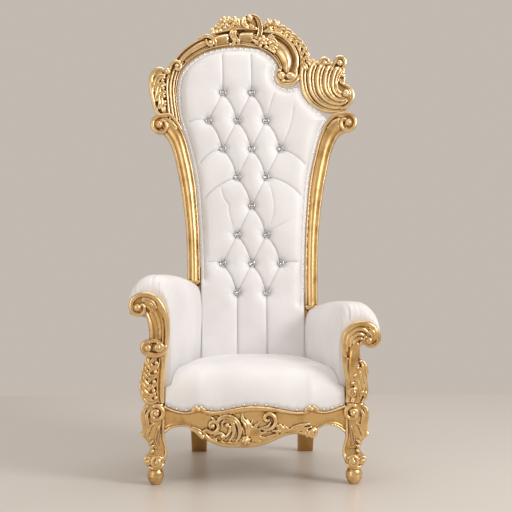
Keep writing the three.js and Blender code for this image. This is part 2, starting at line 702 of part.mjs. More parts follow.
/** The scrolled front rail with its carved acanthus. */
function frontRail() {
  const steps = APRON_STATIONS.length - 1;
  const scroll = [
    ...volute(-156, 218, 10, 24, 200, -1.1), [-184, 196], [-166, 170], [-128, 153], [-70, 148],
  ];
  const plume = [[-136, 222], [-134, 240], [-104, 248], [-74, 232], [-62, 203], [-66, 172], [-84, 152]];
  const inner = [[-108, 224], [-88, 226], [-82, 200], [-92, 172], [-112, 160]];
  const wing = [[-50, 262], [-46, 240], [-30, 222], [-22, 196], [-30, 172]];
  const hook = [[28, 212], [56, 214], [70, 234], [66, 256], [46, 264], [34, 252], [44, 242]];
  const sprays = [
    [[76, 224], [86, 206], [104, 188]], [[92, 220], [104, 204], [122, 190]],
    [[112, 218], [122, 204], [140, 196]], [[130, 204], [156, 220], [188, 222]],
    [[-10, 168], [4, 196], [26, 226]], [[-4, 160], [22, 184], [60, 184]],
    [[2, 152], [40, 164], [86, 178]],
  ];
  return joined([
    ribbon(apronBottom, apronTop, APRON_PROFILE, { steps, rear: APRON_REAR, ground: bow }),
    relief(scroll, [6, 8, 9, 9, 9, 9, 8, 5], 11),
    relief(plume, [9, 11, 11, 10, 9, 7, 4], 6),
    relief(inner, [5, 7, 7, 6, 4]),
    relief(wing, [4, 9, 11, 9, 5]),
    relief(hook, [5, 7, 8, 8, 8, 8, 6], 7),
    ...sprays.map((points) => relief(points, [5, 7, 3], 2)),
    knob(-38, 170, 15, 1),
    knob(-108, 222, 9),
    knob(-122, 184, 10),
    relief([[-222, 208], [-206, 194], [-192, 180]], [6, 8, 10], 2),
    relief([[230, 206], [214, 208], [202, 196], [208, 184], [218, 190]], [6, 7, 8, 7, 5]),
    ...[-201, 201].flatMap((x) => [-14, 0, 14].map((dx) => knob(x + dx, 279 - Math.abs(dx) / 3, 7))),
  ]);
}

// ---- arms -----------------------------------------------------------------------------------

const ARM_PROFILE = [[0, 4], [0.16, 14], [0.34, 1], [0.66, 1], [0.84, 13], [1, 4]];

/** The taller arm's carved front, drawn on the right side. */
function tallArmFront() {
  const inner = [
    [328, 298], [328, 362], [322, 446], [313, 505], [309, 563], [311, 608], [328, 648], [356, 682],
    [394, 700],
  ];
  const outer = [
    [396, 298], [411, 348], [402, 422], [388, 471], [383, 530], [385, 572], [392, 604], [398, 626],
    [404, 646],
  ];
  const clasp = [
    [316, 524], [322, 494], [346, 476], [378, 474], [398, 490], [396, 510], [376, 518], [358, 510],
  ];
  const lift = FRONT_Y - 6;
  const strokes = [
    [[342, 312], [362, 318], [384, 340], [398, 376]],
    [[340, 352], [360, 350], [382, 372], [396, 404]],
    [[340, 392], [358, 388], [376, 408], [392, 436]],
    [[342, 430], [354, 424], [370, 440], [384, 466]],
  ];
  const over = [[326, 660], [352, 668], [380, 666], [404, 676], [424, 664]];
  return joined([
    ribbon(inner, outer, ARM_PROFILE, { steps: 8, rear: APRON_REAR, ground: () => FRONT_Y }),
    plate(volute(418, 652, 38, 38, 0, 0.875), FRONT_Y - 2, FRONT_Y + APRON_REAR - 2, { count: 10 }),
    bar(atDepth(volute(418, 655, 37, 12, 96, 1.3), lift), [10, 10, 9, 8, 7], { steps: 9 }),
    bead(432, 645, 11, { y: lift - 4 }),
    bar(atDepth(over, lift), [5, 7, 8, 8, 6], { steps: 4 }),
    bar(atDepth(clasp, lift - 2), [7, 9, 9, 10, 10, 9, 8, 6], { steps: 8 }),
    bead(356, 500, 13, { y: lift - 2 }),
    ...strokes.map((points) => bar(atDepth(points, lift), [5, 8, 8, 4], { steps: 3 })),
  ]);
}

/** The lower arm's carved front, on the right side. */
function lowArmFront() {
  const inner = [
    [327, 298], [330, 340], [328, 380], [320, 440], [316, 490], [322, 540], [338, 568], [362, 585],
    [392, 592],
  ];
  const outer = [
    [394, 298], [410, 332], [405, 385], [394, 436], [381, 466], [379, 490], [385, 506], [392, 520],
    [402, 542],
  ];
  const lift = FRONT_Y - 6;
  const flutes = [
    [[404, 540], [380, 560], [352, 552], [334, 520], [328, 480]],
    [[402, 532], [378, 544], [356, 534], [344, 508]],
    [[410, 552], [412, 572], [394, 582], [372, 574]], [[424, 548], [436, 562], [430, 578]],
  ];
  const leaves = [
    [[374, 404], [386, 430], [396, 436]], [[372, 396], [388, 400], [402, 386], [406, 350]],
    [[350, 372], [372, 366], [392, 340], [398, 306]],
    [[348, 352], [364, 346], [372, 324], [362, 308]],
  ];
  return joined([
    ribbon(inner, outer, ARM_PROFILE, { steps: 8, rear: APRON_REAR, ground: () => FRONT_Y }),
    plate(volute(414, 541, 36, 36, 0, 0.875), FRONT_Y - 2, FRONT_Y + APRON_REAR - 2, { count: 10 }),
    bar(atDepth(volute(416, 545, 38, 14, 110, -1.15), lift), [10, 10, 9, 8, 7], { steps: 9 }),
    bead(412, 520, 12, { y: lift - 2 }),
    ...flutes.map((points) => bar(atDepth(points, lift), [5, 7, 7, 4], { steps: 4 })),
    ...leaves.map((points) => bar(atDepth(points, lift), [5, 8, 8, 4], { steps: 3 })),
    bead(362, 330, 10, { y: lift }),
  ]);
}

// Section of an arm pad: 0 to 1 from the inner face to the outermost roll, and depth below the top.
const PAD_FOOT = 1000; // marks the corners that stand on the rail
const PAD_MIDDLE = [0.3, 120];
const PAD_SECTION = [
  [0, PAD_FOOT], [0, 160], [0.02, 75], [0.1, 26], [0.28, 4], [0.5, 0], [0.7, 7], [0.87, 26],
  [0.97, 52], [1, 78], [0.96, 104], [0.82, 128], [0.62, 146], [0.5, 165], [0.5, PAD_FOOT],
];

/** The right arm's upholstery, from the carved front to the back. */
function armPad(top) {
  const stations = [[0, 9], [0.035, 0], [0.5, 0], [1, 0]]; // share of the length, and inset of the edge
  return loft(PAD_SECTION, stations.length - 1, (u, v, along) => {
    const share = blend(stations.map(([place]) => place), along);
    const inset = blend(stations.map(([, edge]) => edge), along);
    const crown = top - ARM_FALL * share - inset;
    const z = v > 500 ? LEG_TOP + GAP : Math.max(crown - v, LEG_TOP + GAP);
    const y = THREE.MathUtils.lerp(PAD_FRONT, backFace(z), share);
    const width = THREE.MathUtils.lerp(155, 118, share) - inset;
    return new THREE.Vector3(innerFace(y) + u * width, y, z);
  }, PAD_MIDDLE);
}

/** The domed seat, tight between the arms, its front nailed along the top of the front rail. */
function seat(rail) {
  // The y of each cross-section, its crown height, half width and how much of the bow it follows.
  const stations = [
    [-354, 330, 325, 1], [-350, 360, 325, 1], [-338, 388, 325, 0.9], [-327.5, 400, 325, 0.8],
    [-326, 401, 0, 0.8], [-270, 424, 0, 0.3], [-150, 436, 0, 0], [0, 442, 0, 0], [140, 436, 0, 0],
  ];
  const section = [
    [-1, 0], [1, 0], [1, 0.72], [0.97, 0.84], [0.85, 0.93], [0.5, 0.99], [0, 1], [-0.5, 0.99],
    [-0.85, 0.93], [-0.97, 0.84], [-1, 0.72],
  ];
  const last = stations.length - 1;
  const dome = loft(section, last, (u, v, along) => {
    const columns = [0, 1, 2, 3].map((k) => stations.map((values) => values[k]));
    const [y, crown, wide, bowed] = columns.map((values) => blend(values, along));
    const z = THREE.MathUtils.lerp(SEAT_BOTTOM, crown, v);
    const deep = Math.min(y, backFace(z) - GAP);
    const x = u * (wide > 300 ? wide : innerFace(deep) - GAP);
    return new THREE.Vector3(x, deep + (bow(x) - FRONT_Y) * bowed, z);
  });
  return clearOf(dome, rail);
}

// ---- the whole throne -----------------------------------------------------------------------

/** The same solid on the other side. */
function turnedOver(body) {
  const geometry = geometryOf(body);
  geometry.scale(-1, 1, 1);
  return solid(geometry);
}

const throne = new THREE.Group();
const back = new THREE.Group();
back.rotation.x = -BACK_LEAN;
back.position.set(
  0,
  BACK_PIVOT.y - BACK_PIVOT.z * Math.sin(BACK_LEAN),
  BACK_PIVOT.z - BACK_PIVOT.z * Math.cos(BACK_LEAN),
);
throne.add(back);

const places = buttonPlaces();
const leftPost = turnedOver(eased(backPost(LEFT_POST_FOOT), CARVING_EASE));
const rightPost = eased(backPost(RIGHT_POST_FOOT), CARVING_EASE);
const carving = joined([
  crestRail(), ...crestBands(), ...leftShoulder(), ...leftFlowers(),
  ...middleScroll(), ...rightScroll(), ...rightShell(),
]);
const crest = clearOf(eased(carving, CARVING_EASE), leftPost, rightPost);
addPiece(back, "crest", GOLD, crest);
addPiece(back, "back_post_left", GOLD, leftPost);
addPiece(back, "back_post_right", GOLD, rightPost);
addPiece(back, "back_cushion", LEATHER, clearOf(tuftedBack(places), crest, leftPost, rightPost));
addPiece(back, "back_panel", LEATHER, clearOf(backPanel(), crest, leftPost, rightPost));
places.forEach((place, i) => {
  addPiece(back, `button_${String(i + 1).padStart(2, "0")}`, CRYSTAL, buttonSolid(place));
});

const rail = eased(frontRail(), CARVING_EASE);
addPiece(throne, "seat_cushion", LEATHER, seat(rail));
addPiece(throne, "arm_pad_left", LEATHER, turnedOver(armPad(LEFT_ARM_TOP)));
addPiece(throne, "arm_pad_right", LEATHER, armPad(RIGHT_ARM_TOP));
addPiece(throne, "arm_front_left", GOLD, turnedOver(eased(tallArmFront(), CARVING_EASE)));
addPiece(throne, "arm_front_right", GOLD, eased(lowArmFront(), CARVING_EASE));
addPiece(throne, "front_rail", GOLD, rail);
addPiece(throne, "rear_rail", GOLD, rearRail());
addPiece(throne, "side_rail_left", GOLD, turnedOver(sideRail()));
addPiece(throne, "side_rail_right", GOLD, sideRail());
const leg = eased(frontLeg(), CARVING_EASE);
addPiece(throne, "front_leg_left", GOLD, turnedOver(leg));
addPiece(throne, "front_leg_right", GOLD, leg);
addPiece(throne, "rear_leg_left", GOLD, turnedOver(rearLeg()));
addPiece(throne, "rear_leg_right", GOLD, rearLeg());

// The origin is on the floor, under the middle of the whole.
throne.updateMatrixWorld(true);
const middle = new THREE.Box3().setFromObject(throne, true).getCenter(new THREE.Vector3());
throne.position.set(-middle.x, -middle.y, 0);

export default throne;
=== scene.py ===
"""A tall-backed carved throne: gilded frame, tufted white leatherette back, rolled arms, domed seat.

The scene is in metres. The pieces are drawn in millimetres: those of the body upright, those of the
back as if it stood upright, with depths counted from its front plane (negative to the front).
"""

import logging
import math
from dataclasses import dataclass
from enum import Enum
from functools import lru_cache
from typing import Callable, Sequence

import bmesh
import bpy
import numpy as np
from mathutils import Matrix, Vector


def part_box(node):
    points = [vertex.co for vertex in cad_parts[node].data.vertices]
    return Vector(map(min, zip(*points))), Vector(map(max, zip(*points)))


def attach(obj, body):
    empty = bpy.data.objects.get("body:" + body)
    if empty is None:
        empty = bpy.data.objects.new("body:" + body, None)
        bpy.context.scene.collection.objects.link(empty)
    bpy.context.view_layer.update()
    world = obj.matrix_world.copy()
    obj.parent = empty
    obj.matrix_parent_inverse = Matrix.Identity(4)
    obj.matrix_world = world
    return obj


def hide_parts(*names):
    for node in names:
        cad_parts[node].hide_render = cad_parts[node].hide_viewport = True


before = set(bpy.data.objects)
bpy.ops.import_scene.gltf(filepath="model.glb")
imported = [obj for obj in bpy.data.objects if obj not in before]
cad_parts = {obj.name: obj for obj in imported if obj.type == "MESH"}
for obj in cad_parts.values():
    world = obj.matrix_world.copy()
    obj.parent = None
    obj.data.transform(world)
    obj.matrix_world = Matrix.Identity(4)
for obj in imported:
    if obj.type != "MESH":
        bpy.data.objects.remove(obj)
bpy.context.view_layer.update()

BMesh, BMVert, BMEdge = bmesh.types.BMesh, bmesh.types.BMVert, bmesh.types.BMEdge
Mesh, Object = bpy.types.Mesh, bpy.types.Object
Tree, Socket = bpy.types.NodeTree, bpy.types.NodeSocket
Array = np.ndarray
Points = Sequence[Sequence[float]]
Place = Callable[[Array, Array, Array], Array]

log = logging.getLogger("throne")

# ---- driving dimensions, in millimetres ----

MM = 0.001
BACK_LEAN = math.radians(8)
BACK_PIVOT_Y, BACK_PIVOT_Z = 150, 430
FRAME_REAR = 36
STILE_INNER, STILE_OUTER, STILE_BOTTOM = 212, 262, 353
LEFT_POST_FOOT, RIGHT_POST_FOOT = 715, 612

TUFT_CENTRE, TUFT_TOP = -3, 1506
TUFT_PITCH_X, TUFT_PITCH_Z = 119, 119.3
CUSHION_FRONT, CUSHION_REAR, PANEL_REAR = -24, 8, 34

FRONT_Y = -355
APRON_HALF, APRON_BOW, APRON_REAR = 330, 22, 28
LEG_TOP, LEG_REAR = 297, -297.6
FOOT_X, FOOT_Y = 361, -338
RAIL_BOTTOM, REAR_RAIL_TOP = 216, 345
REAR_RAIL_FRONT, REAR_RAIL_REAR = 137, 190
REAR_FOOT_X, REAR_FOOT_Y, REAR_FOOT_HALF = 222, 298, 31
REAR_TOP_X, REAR_TOP_Y, REAR_TOP_HALF = 218, 164, 39
REAR_LEG_FLAT = 0.86
SEAT_BOTTOM = 262
PAD_FRONT = -326
LEFT_ARM_TOP, RIGHT_ARM_TOP, ARM_FALL = 760, 660, 52
ARM_INNER_FRONT_X, ARM_INNER_REAR_X = 309, 210
ARM_INNER_FRONT_Y, ARM_INNER_LENGTH = -338, 458
CLEARANCE = 0.4


def body_place() -> Matrix:
    """Takes millimetres on the body to metres in the frame, whose origin is under the middle."""
    left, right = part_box("front_leg_left")[0].x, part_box("front_leg_right")[1].x
    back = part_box("rear_rail")[0].y - REAR_RAIL_FRONT * MM
    return Matrix.Translation(((left + right) / 2, back, 0)) @ Matrix.Scale(MM, 4)


def back_place() -> Matrix:
    """Takes millimetres on the upright back to metres in the frame, with the back's lean."""
    pivot = Matrix.Translation((0, BACK_PIVOT_Y, BACK_PIVOT_Z))
    turn = pivot @ Matrix.Rotation(-BACK_LEAN, 4, "X") @ Matrix.Translation((0, 0, -BACK_PIVOT_Z))
    return body_place() @ turn


# ---- lines and sections ----


class Line:
    """A smooth line through [x, z] or [x, z, y] points, read by the share of its length."""

    def __init__(self, points: Points, closed: bool = False) -> None:
        """Runs a centripetal Catmull-Rom curve through the points.

        Args:
            points: the points, height second and depth, where it isn't 0, third.
            closed: whether the last point joins the first.
        """
        knots = np.array([(p[0], p[2] if len(p) > 2 else 0.0, p[1]) for p in points], float)
        if closed:
            ring = np.vstack([knots[-1:], knots, knots[:2]])
        else:
            ring = np.vstack([2 * knots[0] - knots[1], knots, 2 * knots[-1] - knots[-2]])
        share = np.linspace(0, 1, 12, endpoint=False)[:, None]
        spans = []
        for a, b, c, d in zip(ring, ring[1:], ring[2:], ring[3:]):
            tb = math.sqrt(np.linalg.norm(b - a) + 1e-9)
            tc = tb + math.sqrt(np.linalg.norm(c - b) + 1e-9)
            td = tc + math.sqrt(np.linalg.norm(d - c) + 1e-9)
            t = tb + share * (tc - tb)
            ab = (tb - t) / tb * a + t / tb * b
            bc = (tc - t) / (tc - tb) * b + (t - tb) / (tc - tb) * c
            cd = (td - t) / (td - tc) * c + (t - tc) / (td - tc) * d
            abc = (tc - t) / tc * ab + t / tc * bc
            bcd = (td - t) / (td - tb) * bc + (t - tb) / (td - tb) * cd
            spans.append((tc - t) / (tc - tb) * abc + (t - tb) / (tc - tb) * bcd)
        spans.append(ring[-2:-1] if not closed else knots[:1])
        self.points = np.vstack(spans)
        steps = np.linalg.norm(np.diff(self.points, axis=0), axis=1)
        self.reach = np.concatenate([[0], np.cumsum(steps)])
        self.length = float(self.reach[-1])

    def at(self, along: Array) -> Array:
        """The points at these shares of the length."""
        place = np.clip(along, 0, 1) * self.length
        return np.stack([np.interp(place, self.reach, self.points[:, k]) for k in range(3)], axis=-1)

    def way(self, along: Array) -> Array:
        """The directions at these shares of the length."""
        step = 0.5 / max(len(self.points), 2)
        near = self.at(np.clip(np.asarray(along) + step, 0, 1))
        ahead = near - self.at(np.clip(np.asarray(along) - step, 0, 1))
        return ahead / (np.linalg.norm(ahead, axis=-1, keepdims=True) + 1e-12)

    def even(self, pitch: float) -> Array:
        """Points along the line, about one pitch apart."""
        count = max(int(round(self.length / pitch)), 1)
        return self.at(np.linspace(0, 1, count + 1))


def blend(values: float | Sequence[float], along: Array) -> Array:
    """Reads evenly spaced values at these shares, or gives one value everywhere."""
    if np.isscalar(values):
        return np.full(np.shape(along), float(values))
    return np.interp(along, np.linspace(0, 1, len(values)), values)


def ease(value: Array, low: float, high: float) -> Array:
    """0 below low, 1 above high, and smooth between."""
    t = np.clip((value - low) / (high - low), 0, 1)
    return t * t * (3 - 2 * t)


def dome(share: Array, most: float = 1.0) -> Array:
    """A quarter circle's height: 0 at share 0, or a little more where most is below 1, and 1 from 1 on."""
    return np.sqrt(1 - np.clip(1 - share, 0, most) ** 2)


def at_depth(points: Points, y: float) -> list[tuple[float, float, float]]:
    """The same points at depth y."""
    return [(p[0], p[1], y) for p in points]


def volute(x: float, z: float, outer: float, inner: float, start: float, turns: float) -> Points:
    """Points of a spiral.

    Args:
        x, z: its middle.
        outer, inner: the radii that it winds between.
        start: the angle of its first point, in degrees.
        turns: how often it goes round, negative for clockwise.

    Returns:
        The points, from the outermost one.
    """
    count = math.ceil(abs(turns) * 10)
    shares = [i / count for i in range(count + 1)]
    spots = []
    for share in shares:
        angle = math.radians(start + turns * 360 * share)
        radius = outer + (inner - outer) * share
        spots.append((x + radius * math.cos(angle), z + radius * math.sin(angle)))
    return spots


class Section(Enum):
    """What a carved stroke looks like when it is cut across."""

    ROUND = "round"
    LEAF = "two swellings with a vein between them"
    REED = "two round beads side by side"
    RIB = "a broad bead with two finer ones beside it"
    KEEL = "a sharp ridge"
    HOLLOW = "a dished band between two thin rims"


ROUND, LEAF, REED, RIB, KEEL, HOLLOW = Section
FRONTS = {
    LEAF: [
        (-1, 0), (-0.94, 0.42), (-0.76, 0.74), (-0.46, 0.86), (-0.18, 0.7), (0, 0.46), (0.18, 0.7),
        (0.46, 0.86), (0.76, 0.74), (0.94, 0.42), (1, 0),
    ],
    REED: [
        (-1, 0), (-0.92, 0.5), (-0.58, 0.82), (-0.2, 0.62), (-0.04, 0.3), (0.04, 0.3), (0.2, 0.62),
        (0.58, 0.82), (0.92, 0.5), (1, 0),
    ],
    RIB: [
        (-1, 0.05), (-0.92, 0.5), (-0.7, 0.82), (-0.42, 0.88), (-0.18, 0.66), (-0.06, 0.38), (0.05, 0.4),
        (0.16, 0.62), (0.32, 0.7), (0.46, 0.55), (0.54, 0.28), (0.62, 0.3), (0.74, 0.5), (0.9, 0.46),
        (1, 0.05),
    ],
    KEEL: [(-1, -0.1), (-0.75, 0.12), (-0.35, 0.42), (0, 0.95), (0.35, 0.42), (0.75, 0.12), (1, -0.1)],
    HOLLOW: [
        (-1, 0), (-0.97, 0.6), (-0.82, 0.72), (-0.66, 0.45), (-0.35, 0.12), (0, 0.02), (0.35, 0.12),
        (0.66, 0.45), (0.82, 0.72), (0.97, 0.6), (1, 0),
    ],
}
REAR_CORNERS = [(0.62, -0.8), (0, -0.95), (-0.62, -0.8)]
ROUND_CORNERS = 12


@lru_cache(maxsize=None)
def corners_of(kind: Section) -> Array:
    """The corners of a section: across from -1 to 1, and towards the front."""
    if kind is ROUND:
        angles = np.arange(ROUND_CORNERS) / ROUND_CORNERS * 2 * math.pi
        return np.stack([np.cos(angles), np.sin(angles)], axis=1)
    return np.array(FRONTS[kind] + REAR_CORNERS)


# ---- meshes ----


@lru_cache(maxsize=None)
def tube(sides: int, steps: int) -> tuple[Mesh, Array, Array]:
    """A closed tube to be shaped.

    Args:
        sides: corners round it.
        steps: spans along it.

    Returns:
        Its mesh, and each corner's number round it and share along it.
    """
    bm = bmesh.new()
    bmesh.ops.create_cone(
        bm, cap_ends=True, cap_tris=False, segments=sides, radius1=1, radius2=1, depth=1
    )
    length = [e for e in bm.edges if abs(e.verts[0].co.z - e.verts[1].co.z) > 0.5]
    if steps > 1:
        bmesh.ops.subdivide_edges(bm, edges=length, cuts=steps - 1)
    spots = np.array([v.co for v in bm.verts])
    mesh = as_mesh("tube", bm)
    angle = np.arctan2(spots[:, 1], spots[:, 0])
    turn = np.rint((angle - angle[0]) / (2 * math.pi) * sides).astype(int) % sides
    return mesh, turn, np.round(spots[:, 2] + 0.5, 6)


def spots_of(mesh: Mesh) -> Array:
    """The mesh's points as rows."""
    spots = np.empty(len(mesh.vertices) * 3, np.float32)
    mesh.vertices.foreach_get("co", spots)
    return spots.reshape(-1, 3).astype(float)


def set_spots(mesh: Mesh, spots: Array) -> None:
    """Moves the mesh's points."""
    mesh.vertices.foreach_set("co", np.ascontiguousarray(spots, np.float32).ravel())
    mesh.update()


def triangles_of(mesh: Mesh) -> int:
    """How many triangles the mesh's faces make."""
    return sum(len(p.vertices) - 2 for p in mesh.polygons)


def joins_of(mesh: Mesh) -> Array:
    """The mesh's edges as rows of two point numbers."""
    joins = np.empty(len(mesh.edges) * 2, np.int32)
    mesh.edges.foreach_get("vertices", joins)
    return joins.reshape(-1, 2)


def averaged(spots: Array, joins: Array, times: int, share: float = 0.6) -> Array:
    """Moves each point towards the mean of its neighbours, several times over."""
    ends = np.concatenate([joins[:, 0], joins[:, 1]])
    others = np.concatenate([joins[:, 1], joins[:, 0]])
    count = np.maximum(np.bincount(ends, minlength=len(spots)), 1)
    for _ in range(times):
        mean = np.stack(
            [np.bincount(ends, weights=spots[others, k], minlength=len(spots)) for k in range(3)], axis=1
        ) / count[:, None]
        spots = spots + (mean - spots) * share
    return spots


def relax(mesh: Mesh, times: int, there: float = 0.55, back: float = -0.42) -> None:
    """Takes the steps out of a fused surface and keeps its volume: each smoothing is undone in part."""
    joins = joins_of(mesh)
    spots = spots_of(mesh)
    for _ in range(times):
        spots = averaged(averaged(spots, joins, 1, there), joins, 1, back)
    set_spots(mesh, spots)


def mark_hollows(mesh: Mesh, reach: int, full: float) -> None:
    """Writes how hollow each point lies: near 1 in a groove, near -1 on a ridge.

    Args:
        mesh: the mesh, in metres.
        reach: how many edges wide a hollow is looked for.
        full: the depth in metres that counts as fully hollow.
    """
    spots = spots_of(mesh)
    normals = np.empty(len(mesh.vertices) * 3, np.float32)
    mesh.vertices.foreach_get("normal", normals)
    normals = normals.reshape(-1, 3)
    joins = joins_of(mesh)
    near = averaged(spots, joins, reach)
    wide = averaged(near, joins, reach * 4)
    depth = ((near - spots) * normals).sum(1) + 0.45 * ((wide - spots) * normals).sum(1)
    values = np.clip(depth / full, -1, 1)
    values = averaged(np.repeat(values[:, None], 3, 1), joins, 1)[:, 0]
    attribute = mesh.attributes.new("hollow", "FLOAT", "POINT")
    attribute.data.foreach_set("value", values.astype(np.float32))


def as_mesh(name: str, bm: BMesh) -> Mesh:
    """A mesh that holds the bmesh, which is freed."""
    mesh = bpy.data.meshes.new(name)
    bm.to_mesh(mesh)
    bm.free()
    return mesh


def merge(whole: BMesh, part: Mesh) -> None:
    """Adds the part to the whole and removes it."""
    whole.from_mesh(part)
    bpy.data.meshes.remove(part)


def verts_in(geometry: Sequence[BMVert | BMEdge]) -> list[BMVert]:
    """The points among the geometry that an operator gave back."""
    return [g for g in geometry if isinstance(g, BMVert)]


def bevelled(bm: BMesh, edges: Sequence[BMEdge], offset: float, segments: int) -> None:
    """Takes the sharpness off these edges."""
    bmesh.ops.bevel(
        bm, geom=edges, offset=offset, affect="EDGES", segments=segments, profile=0.5, material=-1
    )


def outward(bm: BMesh) -> None:
    """Turns every face outwards."""
    bmesh.ops.recalc_face_normals(bm, faces=bm.faces)


def open_edges(bm: BMesh) -> list[BMEdge]:
    """The edges that belong to one face only."""
    return [e for e in bm.edges if e.is_boundary]


def close_up(bm: BMesh) -> None:
    """Closes the open edge with one face and turns every face outwards."""
    bmesh.ops.holes_fill(bm, edges=open_edges(bm), sides=0)
    outward(bm)


def turned(profile: Points, axis: tuple[int, int, int], steps: int) -> BMesh:
    """A form turned about an axis.

    Args:
        profile: points of its outline, which starts and ends on the axis.
        axis: the axis, through the origin.
        steps: sides round it.

    Returns:
        The form.
    """
    bm = bmesh.new()
    spots = [bm.verts.new(spot) for spot in profile]
    edges = [bm.edges.new(pair) for pair in zip(spots, spots[1:])]
    bmesh.ops.spin(
        bm, geom=spots + edges, cent=(0, 0, 0), axis=axis, angle=2 * math.pi, steps=steps, use_merge=True
    )
    bmesh.ops.remove_doubles(bm, verts=bm.verts, dist=1e-3)
    return bm


def as_object(name: str, bm: BMesh) -> Object:
    """A linked object that holds the bmesh, which is freed."""
    mesh = as_mesh(name, bm)
    item = bpy.data.objects.new(name, mesh)
    bpy.context.scene.collection.objects.link(item)
    return item


def settled(item: Object) -> Object:
    """Applies the object's modifiers to its mesh."""
    graph = bpy.context.evaluated_depsgraph_get()
    mesh = bpy.data.meshes.new_from_object(item.evaluated_get(graph))
    old = item.data
    item.modifiers.clear()
    item.data = mesh
    bpy.data.meshes.remove(old)
    return item


def finished(
    item: Object,
    place: Matrix,
    finish: "Finish",
    replaces: Sequence[str] = (),
) -> Object:
    """Puts a piece in its place and dresses it.

    Args:
        item: the piece, drawn in millimetres.
        place: takes its drawing to the frame.
        finish: its finish.
        replaces: the CAD nodes that it stands for.

    Returns:
        The piece.
    """
    mesh = item.data
    mesh.transform(place)
    mesh.polygons.foreach_set("use_smooth", [True] * len(mesh.polygons))
    mesh.update()
    if finish.hollow_depth:
        mark_hollows(mesh, finish.hollow_reach, finish.hollow_depth)
    mesh.materials.clear()
    mesh.materials.append(finish.material())
    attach(item, "root")
    if replaces:
        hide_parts(*replaces)
    log.info("%s: %d triangles", item.name, triangles_of(mesh))
    return item


def mirrored(bm: BMesh) -> None:
    """Turns a drawing of the right side into one of the left side."""
    bmesh.ops.scale(bm, vec=(-1, 1, 1), verts=bm.verts)
    bmesh.ops.reverse_faces(bm, faces=bm.faces)


# ---- finishes ----


def linear(colour: str) -> tuple[float, float, float, float]:
    """An sRGB hex colour as linear red, green, blue and 1."""
    values = [int(colour[i : i + 2], 16) / 255 for i in (1, 3, 5)]
    red, green, blue = [v / 12.92 if v <= 0.04045 else ((v + 0.055) / 1.055) ** 2.4 for v in values]
    return red, green, blue, 1.0


def add(tree: Tree, kind: str, settings: dict, links: dict) -> bpy.types.Node:
    """Adds a node with its settings and links.

    Args:
        tree: the node tree.
        kind: the node's type.
        settings: attributes by name, and socket values by name or number.
        links: sockets by the name or number of the input that each feeds.

    Returns:
        The node.
    """
    node = tree.nodes.new(kind)
    for key, value in settings.items():
        if isinstance(key, str) and hasattr(node, key):
            setattr(node, key, value)
        else:
            node.inputs[key].default_value = value
    for key, socket in links.items():
        tree.links.new(socket, node.inputs[key])
    return node


def ramp(tree: Tree, value: Socket, stops: dict[float, str]) -> Socket:
    """Colours by value, from hex colours at places between 0 and 1."""
    node = add(tree, "ShaderNodeValToRGB", {}, {0: value})
    elements = node.color_ramp.elements
    while len(elements) < len(stops):
        elements.new(0.5)
    for element, (place, colour) in zip(elements, sorted(stops.items())):
        element.position = place
        element.color = linear(colour)
    return node.outputs[0]


@dataclass(frozen=True)
class Finish:
    """A finish: a material named for what it is, and the record's slot that it belongs to."""

    name: str = "finish"
    slot: str = ""
    hollow_reach: int = 3
    hollow_depth: float = 0.0

    def material(self) -> bpy.types.Material:
        """The finish's material, made once."""
        found = bpy.data.materials.get(self.name)
        if found:
            return found
        material = bpy.data.materials.new(self.name)
        material.use_nodes = True
        material.node_tree.nodes.clear()
        self.wire(material.node_tree)
        return material

    def wire(self, tree: Tree) -> None:
        """Builds the shader."""
        raise NotImplementedError

    def shader(self, tree: Tree, settings: dict, links: dict) -> None:
        """Adds the surface shader and the output."""
        surface = add(tree, "ShaderNodeBsdfPrincipled", settings, links)
        add(tree, "ShaderNodeOutputMaterial", {}, {"Surface": surface.outputs[0]})


def mapped(tree: Tree, value: Socket, start: tuple[float, float], stop: tuple[float, float]) -> Socket:
    """A value's way from start[0] to start[1] taken to the way from stop[0] to stop[1]."""
    settings = dict(zip((1, 2, 3, 4), (*start, *stop)))
    return add(tree, "ShaderNodeMapRange", settings, {0: value}).outputs[0]


def mixed(tree: Tree, share: Socket, tone: Socket, colour: str) -> Socket:
    """A tone mixed with a hex colour by a share."""
    settings = {"data_type": "RGBA", 7: linear(colour)}
    return add(tree, "ShaderNodeMix", settings, {0: share, 6: tone}).outputs[2]


def hollows(tree: Tree) -> Socket:
    """How hollow the surface lies, as mark_hollows() wrote it."""
    return add(tree, "ShaderNodeAttribute", {"attribute_name": "hollow"}, {}).outputs["Fac"]


def object_noise(tree: Tree, size_mm: float, detail: float = 2.0) -> Socket:
    """Soft random values whose patches are about this many millimetres wide."""
    where = add(tree, "ShaderNodeTexCoord", {}, {})
    settings = {"Scale": 1 / (size_mm * MM), "Detail": detail}
    return add(tree, "ShaderNodeTexNoise", settings, {"Vector": where.outputs["Object"]}).outputs[0]


